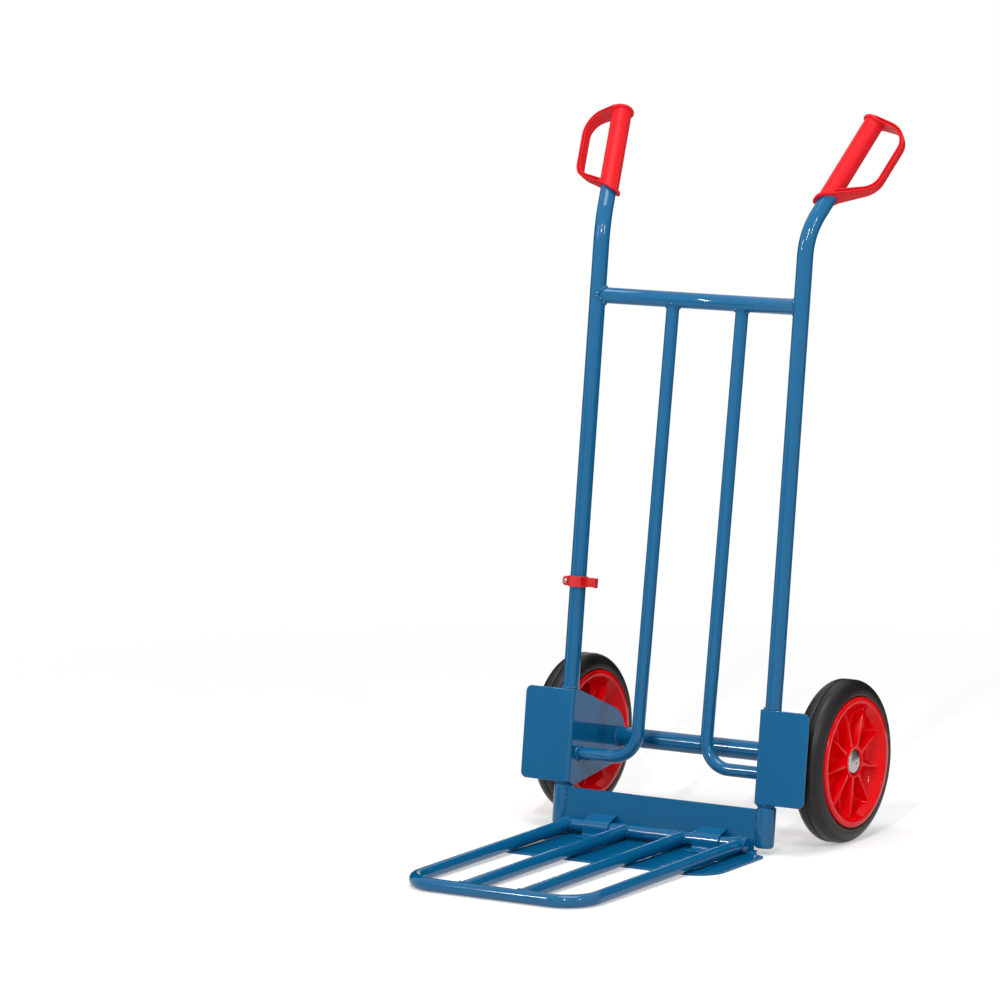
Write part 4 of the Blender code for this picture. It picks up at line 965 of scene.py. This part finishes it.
# Wheels
wheel = {
    "midX": 232 * mm,
    "ribs": 9,
    "ribTurn": radians(-5),
    "rimHalf": 25.5 * mm,
    "lipRadius": 99.7 * mm,
    "lipInner": 90.5 * mm,
    "lipDepth": 3.5 * mm,
    "seatRadius": 96 * mm,
    "seatSlope": 1.2 * mm,
    "wallDraft": radians(33),
    "wallFillet": 14 * mm,
    "webHalf": 2.2 * mm,
    "hubOut": 22 * mm,
    "hubIn": 24 * mm,
    "hubFace": 24.5 * mm,
    "hubRoot": 27 * mm,
    "hubRound": 1.2 * mm,
    "pocketRadius": 19.5 * mm,
    "pocketDepth": 7 * mm,
    "boreRadius": 14.3 * mm,
    "ribHeight": 20 * mm,
    "ribFall": 4.2 * mm,
    "ribLevel": 60 * mm,
    "ribEnd": 86.5 * mm,
    "ribHub": 22.2 * mm,
    "ribBase": 8 * mm,
    "baseShare": 0.3,  # of the radius, the most that a rib's half takes up on the web
    "ribEdge": 1.1 * mm,
    "ribFlare": 3 * mm,
    "insideShare": 0.95,
    "fillet": 4 * mm,
    "edgeRound": 0.7 * mm,
    "edge": 0.5 * mm,
    "seam": 0.02 * mm,
}


def blendMax(a, b, k):  # the higher of two surfaces, with a moulded fillet between them
    h = max(k - abs(a - b), 0) / k
    return max(a, b) + h * h * h * k / 6


def dishHeight(r):  # web, fillet and the sloping wall up to the lip
    web, fillet, draft = wheel["webHalf"], wheel["wallFillet"], wheel["wallDraft"]
    corner = wheel["lipInner"] - (wheel["rimHalf"] - web) * tan(draft)
    tangent = fillet * tan((pi / 2 - draft) / 2)
    if r <= corner - tangent:
        return web
    if r < corner + tangent * sin(draft):
        return web + fillet - sqrt(fillet**2 - (r - corner + tangent) ** 2)
    return min(wheel["rimHalf"], web + (r - corner) / tan(draft))


def ribSize(r, share):  # height, half thickness at the edge and on the web
    past = max(0, (r - wheel["ribLevel"]) / (wheel["ribEnd"] - wheel["ribLevel"]))
    near = min(1, max(0, (wheel["ribLevel"] - r) / (wheel["ribLevel"] - wheel["ribHub"])))
    high = share * (wheel["ribHeight"] - wheel["ribFall"] * past**2)
    return high, wheel["ribEdge"] + wheel["ribFlare"] * near**2, min(wheel["ribBase"], wheel["baseShare"] * r)


def faceHeight(r, offset, share, hubHeight):  # how far one face stands off the wheel's middle plane
    dish, web = dishHeight(r), wheel["webHalf"]
    if r > wheel["lipInner"]:
        return dish
    high, edge, base = ribSize(r, share)
    flank = high - (offset - edge) / (base - edge) * (high + web / 2)
    rib = -blendMax(-high, -flank, wheel["edgeRound"])
    height = blendMax(dish, rib, wheel["fillet"])
    fall = (r - wheel["hubFace"]) / (wheel["hubRoot"] - wheel["hubFace"])
    hub = -blendMax(-hubHeight, -(hubHeight - fall * (hubHeight - web)), wheel["hubRound"])
    return min(wheel["rimHalf"], blendMax(height, hub, wheel["fillet"] / 2))


# Rows and columns of the sector's mesh: radii from hub to wall in mm, shares of the rib's edge and flank,
# and mm past the rib's foot
faceRadii = [24.0, 24.3, 24.6, 24.9, 25.3, 25.7, 26.1, 26.5, 26.9, 27.4, 28.2, 29.4, 31, 33, 35.5, 38, 41, 45]
faceRadii += [50, 55, 60, 64, 67, 69.5, 72, 74, 76, 78, 79.6, 80.8, 81.8, 82.6, 83.3, 83.9, 84.5, 85.1, 85.8]
faceRadii = [r * mm for r in faceRadii + [86.6, 87.6, 88.6, 89.4, 89.9]]
edgeShares = (0.0, 0.55, 0.85, 1.0)
flankShares = (0.06, 0.2, 0.4, 0.6, 0.78, 0.9, 1.0)
pastFoot = (0.7, 1.8, 3.6)
leastFoot, crowding, pocketSteps = 0.05, 0.035, 5


def ribOffsets(r, share, halfTurn):  # sideways distances from the rib's middle to the middle of the pocket
    high, edge, base = ribSize(r, share)
    lower = (high - dishHeight(r)) / (high + wheel["webHalf"] / 2)
    foot = edge + max(leastFoot, min(1, lower)) * (base - edge)
    wanted = [edge * s for s in edgeShares] + [edge + (foot - edge) * s for s in flankShares]
    wanted += [foot + d * mm for d in pastFoot]
    limit = r * sin(halfTurn)
    kept = [min(value, limit * (1 - crowding * (len(wanted) - k))) for k, value in enumerate(wanted)]
    return kept + [kept[-1] + (limit - kept[-1]) * k / pocketSteps for k in range(1, pocketSteps + 1)]


def sectorMesh():
    half, depth, e, bore = wheel["rimHalf"], wheel["lipDepth"], wheel["edge"], wheel["boreRadius"]
    lip, lipInner, seat = wheel["lipRadius"], wheel["lipInner"], wheel["seatRadius"]
    hubOut, hubIn, pocketRadius = wheel["hubOut"], wheel["hubIn"], wheel["pocketRadius"]
    pocket, slope = hubOut - wheel["pocketDepth"], depth + wheel["seatSlope"]
    rim = [(lipInner, half - e / 2), (lipInner + e, half), (lip - e, half), (lip, half - e)]
    rim += [(lip, half - depth), (seat, half - slope)]
    hub = [(bore, pocket), (pocketRadius, pocket), (pocketRadius, hubOut - e), (pocketRadius + e, hubOut)]
    rows = [(r, z, 0) for r, z in hub] + [(r, None, 1) for r in faceRadii]  # 1 is the outer face, -1 the inner one
    rows += [(r, z, 0) for r, z in rim] + [(r, -z, 0) for r, z in reversed(rim)]
    rows += [(r, None, -1) for r in reversed(faceRadii)] + [(bore + e, -hubIn, 0), (bore, e - hubIn, 0)]
    points = []
    for r, z, face in rows:
        share, hubHeight = (wheel["insideShare"], hubIn) if face == -1 else (1, hubOut)
        wideR = max(r, wheel["hubFace"])
        offsets = ribOffsets(wideR, share, pi / wheel["ribs"])
        columns = [-s for s in reversed(offsets[1:])] + offsets
        for s in columns:
            turn = asin(s / wideR) + wheel["ribTurn"]
            height = face * faceHeight(r, abs(s), share, hubHeight) if face else z
            points.append((r * cos(turn), r * sin(turn), height))
    mesh = bpy.data.meshes.new("sector")
    mesh.from_pydata(points, [], gridFaces(len(rows), len(columns), True, False))
    return mesh


tyre = {
    "sidewallRadius": 104 * mm,
    "sidewallHalf": 24 * mm,
    "crown": 5 * mm,
    "treadHalf": 7.5 * mm,
    "grooveHalf": 1.2 * mm,
    "grooveDepth": 1.4 * mm,
    "grooveEdge": (0.35 * mm, 0.25 * mm),
    "grooveWalls": (0.35, 0.75),  # shares of its half width, at the floor and near the edge
    "tuck": 2.5 * mm,
    "bead": (1.4 * mm, 0.7 * mm),
    "shoulderLine": radians(40),
    "lineDepth": 0.45 * mm,
    "lineHalf": radians(1.2),
    "ring": radians(77),
    "ringHeight": 0.45 * mm,
    "ringHalf": radians(2),
    "ringFoot": 0.6,
    "rowStep": 3,  # degrees, with closer rows beside the line and the ring
    "closeRows": (-2.4, -1.5, -0.6, 0.6, 1.5, 2.4),
    "facets": 128,
}


def tyreSide():  # radius and height from the middle groove out to the bead on the rim
    edge, (edgeDown, edgeOut) = tyre["grooveHalf"], tyre["grooveEdge"]
    wall, wallHalf, lineHalf = tyre["sidewallRadius"], tyre["sidewallHalf"], tyre["lineHalf"]
    floorWide, edgeWide = tyre["grooveWalls"]
    points = [(wheelRadius - tyre["grooveDepth"], floorWide * edge), (wheelRadius - edgeDown, edgeWide * edge)]
    points += [(wheelRadius, edge + edgeOut), (wheelRadius, tyre["crown"])]
    rise, out = wheelRadius - wall, wallHalf - tyre["treadHalf"]
    turns = {radians(turn) for turn in range(0, 91, tyre["rowStep"])}
    for spot in (tyre["shoulderLine"], tyre["ring"]):
        turns |= {spot + radians(d) for d in tyre["closeRows"]}
    for turn in sorted(t for t in turns if t <= pi / 2 + 1e-6):
        lift, fromRing = 0.0, abs(turn - tyre["ring"])
        if abs(turn - tyre["shoulderLine"]) < lineHalf:
            lift = -tyre["lineDepth"]
        if fromRing < tyre["ringHalf"]:
            lift = tyre["ringHeight"] * (1 if fromRing < lineHalf else tyre["ringFoot"])
        normal = Vector((cos(turn) / rise, sin(turn) / out)).normalized()
        high = tyre["treadHalf"] + out * sin(turn) + lift * normal.y
        points.append((wall + rise * cos(turn) + lift * normal.x, high))
    seat, lip, bed = wheel["rimHalf"] - wheel["lipDepth"], wheel["lipRadius"] + gap, wheel["seatRadius"] + gap
    points += [(lip + tyre["bead"][0], wallHalf - tyre["bead"][1]), (lip, wallHalf - tyre["tuck"])]
    return points + [(lip, seat - gap), (bed, seat - wheel["seatSlope"] - gap)]


def collar(outer, inner, low, high, place, edge=0.3 * mm, facets=48):
    profile = [(inner, high - edge), (inner + edge, high), (outer - edge, high), (outer, high - edge)]
    profile += [(outer, low + edge), (outer - edge, low), (inner + edge, low), (inner, low + edge)]
    return lathe(profile, facets, place, closed=True)


cap = {
    "radius": 18 * mm,
    "height": 7.5 * mm,
    "skirt": 2 * mm,
    "edge": 0.3 * mm,
    "dimple": 1.7 * mm,
    "dimpleDepth": 1.1 * mm,
    "dimpleFloor": (0.6, 0.85),  # shares of its radius and depth where its floor starts to rise
    "dimpleRim": ((1, 0.3 * mm), (1.25, 0.08 * mm)),  # shares of its radius, and how far below the top
    "domeStart": 1.6,
    "domeSteps": 14,
    "domeDrop": 0.05 * mm,
    "boreDepth": 5 * mm,
    "facets": 56,
}
fits = {"washer": 17 * mm, "washerDepth": 1.5 * mm, "spacer": 14 * mm, "bush": 14 * mm}
bore, pocket, inFace = axle["radius"] + gap, wheel["hubOut"] - wheel["pocketDepth"], -wheel["hubIn"] - gap
washerOut, washerIn = pocket + gap, inFace - fits["washerDepth"]
legFace = plate["innerX"] + plate["thickness"] + gap - wheel["midX"]
base = washerOut + fits["washerDepth"] + gap
top, d, r = base + cap["height"], cap["dimple"], cap["radius"]
floorWide, floorDeep = cap["dimpleFloor"]
dome = [(0, top - cap["dimpleDepth"]), (floorWide * d, top - floorDeep * cap["dimpleDepth"])]
dome += [(share * d, top - down) for share, down in cap["dimpleRim"]]
for k in range(1, cap["domeSteps"] + 1):
    turn = acos(min(1, cap["domeStart"] * d / r)) * (1 - k / cap["domeSteps"])
    rise = cap["skirt"] + (cap["height"] - cap["skirt"]) * sin(turn)
    dome.append((r * cos(turn), base + rise - cap["domeDrop"]))
dome += [(r, base + cap["edge"]), (r - cap["edge"], base), (bore, base)]
dome += [(bore, base + cap["boreDepth"]), (0, base + cap["boreDepth"])]
outward = tyreSide()
tyreProfile = [(r, -h) for r, h in reversed(outward)] + outward
sector = sectorMesh()
for name, side in bothSides:
    body = name + "_wheel"
    place = shift((side * wheel["midX"], axle["y"], wheelRadius)) @ Matrix.Rotation(side * pi / 2, 4, "Y")
    values = {"Rib Count": wheel["ribs"], "Seam Distance": wheel["seam"], "Finish": wheelPlastic}
    mesh = closedSkin(grown(sector.copy(), sectorTree, values))
    mesh.transform(place)
    finishPiece(name + "RibbedWheelCentre", mesh, body, wheelPlastic, name + "_wheel_centre", sharp=50)
    mesh = lathe(tyreProfile, tyre["facets"], place, closed=True)
    finishPiece(name + "RubberTyre", mesh, body, tyreRubber, name + "_tyre")
    mesh = collar(fits["bush"], bore, -wheel["hubIn"], pocket, place)
    finishPiece(name + "NylonBush", mesh, body, bushNylon, name + "_wheel_bush")
    for label, kind, outer, low, high in (
        ("OutsideWasher", "_outer_washer", fits["washer"], washerOut, washerOut + fits["washerDepth"]),
        ("InsideWasher", "_inner_washer", fits["washer"], washerIn, inFace),
        ("SpacerSleeve", "_spacer", fits["spacer"], legFace, washerIn - gap),
    ):
        finishPiece(name + label, collar(outer, bore, low, high, place), "frame", zinc, name + kind)
    finishPiece(name + "DomedHubCap", lathe(dome, cap["facets"], place), "frame", zinc, name + "_hub_cap")

half = wheel["midX"] + base + cap["boreDepth"] - gap
r, e = axle["radius"], axle["edge"]
bar = [(0, -half), (r - e, -half), (r, e - half)]
bar += [(r, -h) for r, h in reversed(bar)]
mesh = lathe(bar, axle["facets"], acrossFrame(0, axle["y"], wheelRadius))
finishPiece("axleBar", mesh, "frame", drawnSteel, "axle")
print("wheels done")

# Floor, light and camera
studio = {
    "floor": "#d6d6d6",
    "floorRadius": 90,
    "floorDrop": 0.2 * mm,
    "ownLight": 0.4,
    "fade": (0.9, 2.4),  # metres from the middle of the floor
    "fibre": 3 * mm,
    "fibreHeight": 0.1 * mm,
    "fibreStrength": 0.02,
    "ambient": 0.3,
}
shape = bmesh.new()
bmesh.ops.create_circle(shape, cap_ends=True, segments=96, radius=studio["floorRadius"])
floorMesh = bpy.data.meshes.new("paperFloor")
shape.to_mesh(floorMesh)
shape.free()
floor = addObject("paperFloor", floorMesh)
floor.location.z = min(0.0, cadBox[0][2]) - studio["floorDrop"]


def seenDirectly(tree):  # 1 for rays that show the background, 0 for those that carry its light
    ray = addNode(tree, "ShaderNodeLightPath").outputs
    share = ray["Is Camera Ray"]
    for kind in ("Is Glossy Ray", "Is Transmission Ray"):
        share = addNode(tree, "ShaderNodeMath", {0: share, 1: ray[kind]}, operation="MAXIMUM")
    return share


# White background paper: matt, fading into the white surround far from the object
material, tree, place = startMaterial("mattBackgroundPaper")
distance = addNode(tree, "ShaderNodeVectorMath", {0: place}, operation="LENGTH").outputs["Value"]
limits = {"Value": distance, "From Min": studio["fade"][0], "From Max": studio["fade"][1]}
far = addNode(tree, "ShaderNodeMapRange", limits, interpolation_type="SMOOTHSTEP")
fibre = addNode(tree, "ShaderNodeTexNoise", {"Vector": place, "Scale": 1 / studio["fibre"], "Detail": 2.0})
relief = {"Height": fibre, "Strength": studio["fibreStrength"], "Distance": studio["fibreHeight"]}
bump = addNode(tree, "ShaderNodeBump", relief)
matt = addNode(tree, "ShaderNodeBsdfDiffuse", {"Color": linear(studio["floor"]), "Normal": bump})
own = addNode(tree, "ShaderNodeMath", {0: seenDirectly(tree), 1: studio["ownLight"]}, operation="MULTIPLY")
glow = addNode(tree, "ShaderNodeEmission", {"Strength": own})
near = addNode(tree, "ShaderNodeAddShader", {0: matt, 1: glow})
white = addNode(tree, "ShaderNodeEmission", {"Strength": 1.0})
mixed = addNode(tree, "ShaderNodeMixShader", {0: far, 1: near, 2: white})
addNode(tree, "ShaderNodeOutputMaterial", {"Surface": mixed})
floorMesh.materials.append(material)

world = bpy.data.worlds.new("studio")
world.use_nodes = True
bpy.context.scene.world = world
tree = world.node_tree
tree.nodes.clear()
limits = {"Value": seenDirectly(tree), "To Min": studio["ambient"], "To Max": 1.0}
strength = addNode(tree, "ShaderNodeMapRange", limits)
surround = addNode(tree, "ShaderNodeBackground", {"Color": (1, 1, 1, 1), "Strength": strength})
addNode(tree, "ShaderNodeOutputWorld", {"Surface": surround})

lamps = (  # place, size, watts
    ("leftStripBox", (-2.72, -4.11, 2.85), (0.2, 1.3), 64),
    ("frontStripBox", (1.5, -4.25, 3.75), (0.2, 1.1), 112),
    ("rightStripBox", (4.0, -1.99, 3.09), (0.2, 1.2), 58),
    ("topSoftbox", (0.15, -0.35, 4.5), (2.3, 1.85), 92),
)
target = Vector((0, 0.05, 0.45))
for name, spot, size, watts in lamps:
    data = bpy.data.lights.new(name, "AREA")
    data.shape = "RECTANGLE"
    data.size, data.size_y = size
    data.energy = watts
    lamp = addObject(name, data)
    lamp.location = spot
    lamp.rotation_euler = (target - Vector(spot)).to_track_quat("-Z", "Y").to_euler()
    lamp.visible_camera = False

view = {
    "azimuth": radians(32.34),
    "elevation": radians(8.28),
    "roll": radians(-0.17),
    "place": (4.2815, -7.1190, 1.7226),
    "sensor": 36,
    "lens": 201.8,
    "shiftY": 0.017,
    "clipEnd": 300,
}
azimuth, elevation = view["azimuth"], view["elevation"]
back = Vector((sin(azimuth) * cos(elevation), -cos(azimuth) * cos(elevation), sin(elevation)))
across = Vector((cos(azimuth), sin(azimuth), 0))
rollTurn = Quaternion(back, view["roll"])
cameraData = bpy.data.cameras.new("photoCamera")
cameraData.sensor_width = view["sensor"]
cameraData.lens = view["lens"]
cameraData.shift_y = view["shiftY"]
cameraData.clip_end = view["clipEnd"]
camera = addObject("photoCamera", cameraData)
camera.matrix_world = axesFrame(rollTurn @ across, rollTurn @ back.cross(across), back, view["place"])
bpy.context.scene.camera = camera
bpy.context.scene.view_settings.view_transform = "Standard"

# Matt cloth on screens round the object, out of sight: it shows only as the darker parts of what gloss reflects
cloth = {"nap": 4 * mm, "napHeight": 1 * mm, "napStrength": 0.3, "centreY": 0.1, "steps": 24}
screens = (  # distance, bottom, top, first and last bearing in degrees from straight behind the object, colour
    ("leftFeltScreen", 1.4, 0.0, 1.3, -62, -10, "#0b0c10"),
    ("rightFeltScreen", 1.4, 0.0, 1.3, 10, 62, "#0b0c10"),
    ("sideClothScreen", 1.4, 0.0, 1.3, 62, 95, "#7c7c7c"),
    ("frontClothScreen", 2.0, 0.05, 0.9, -138, -96, "#c8c8c8"),
)
for name, distance, low, high, first, last, colour in screens:
    material, tree, place = startMaterial(name + "Cloth")
    nap = addNode(tree, "ShaderNodeTexNoise", {"Vector": place, "Scale": 1 / cloth["nap"], "Detail": 2.0})
    relief = {"Height": nap, "Strength": cloth["napStrength"], "Distance": cloth["napHeight"]}
    bump = addNode(tree, "ShaderNodeBump", relief)
    felt = addNode(tree, "ShaderNodeBsdfDiffuse", {"Color": linear(colour), "Normal": bump})
    addNode(tree, "ShaderNodeOutputMaterial", {"Surface": felt})
    points = []
    for k in range(cloth["steps"] + 1):
        turn = radians(first + (last - first) * k / cloth["steps"]) - azimuth
        x, y = distance * sin(turn), cloth["centreY"] + distance * cos(turn)
        points += [(x, y, low), (x, y, high)]
    mesh = meshFrom(points, gridFaces(cloth["steps"] + 1, 2, False, False))
    mesh.materials.append(material)
    screen = addObject(name, mesh)
    screen.visible_camera = screen.visible_diffuse = screen.visible_shadow = screen.visible_transmission = False
print("studio set")
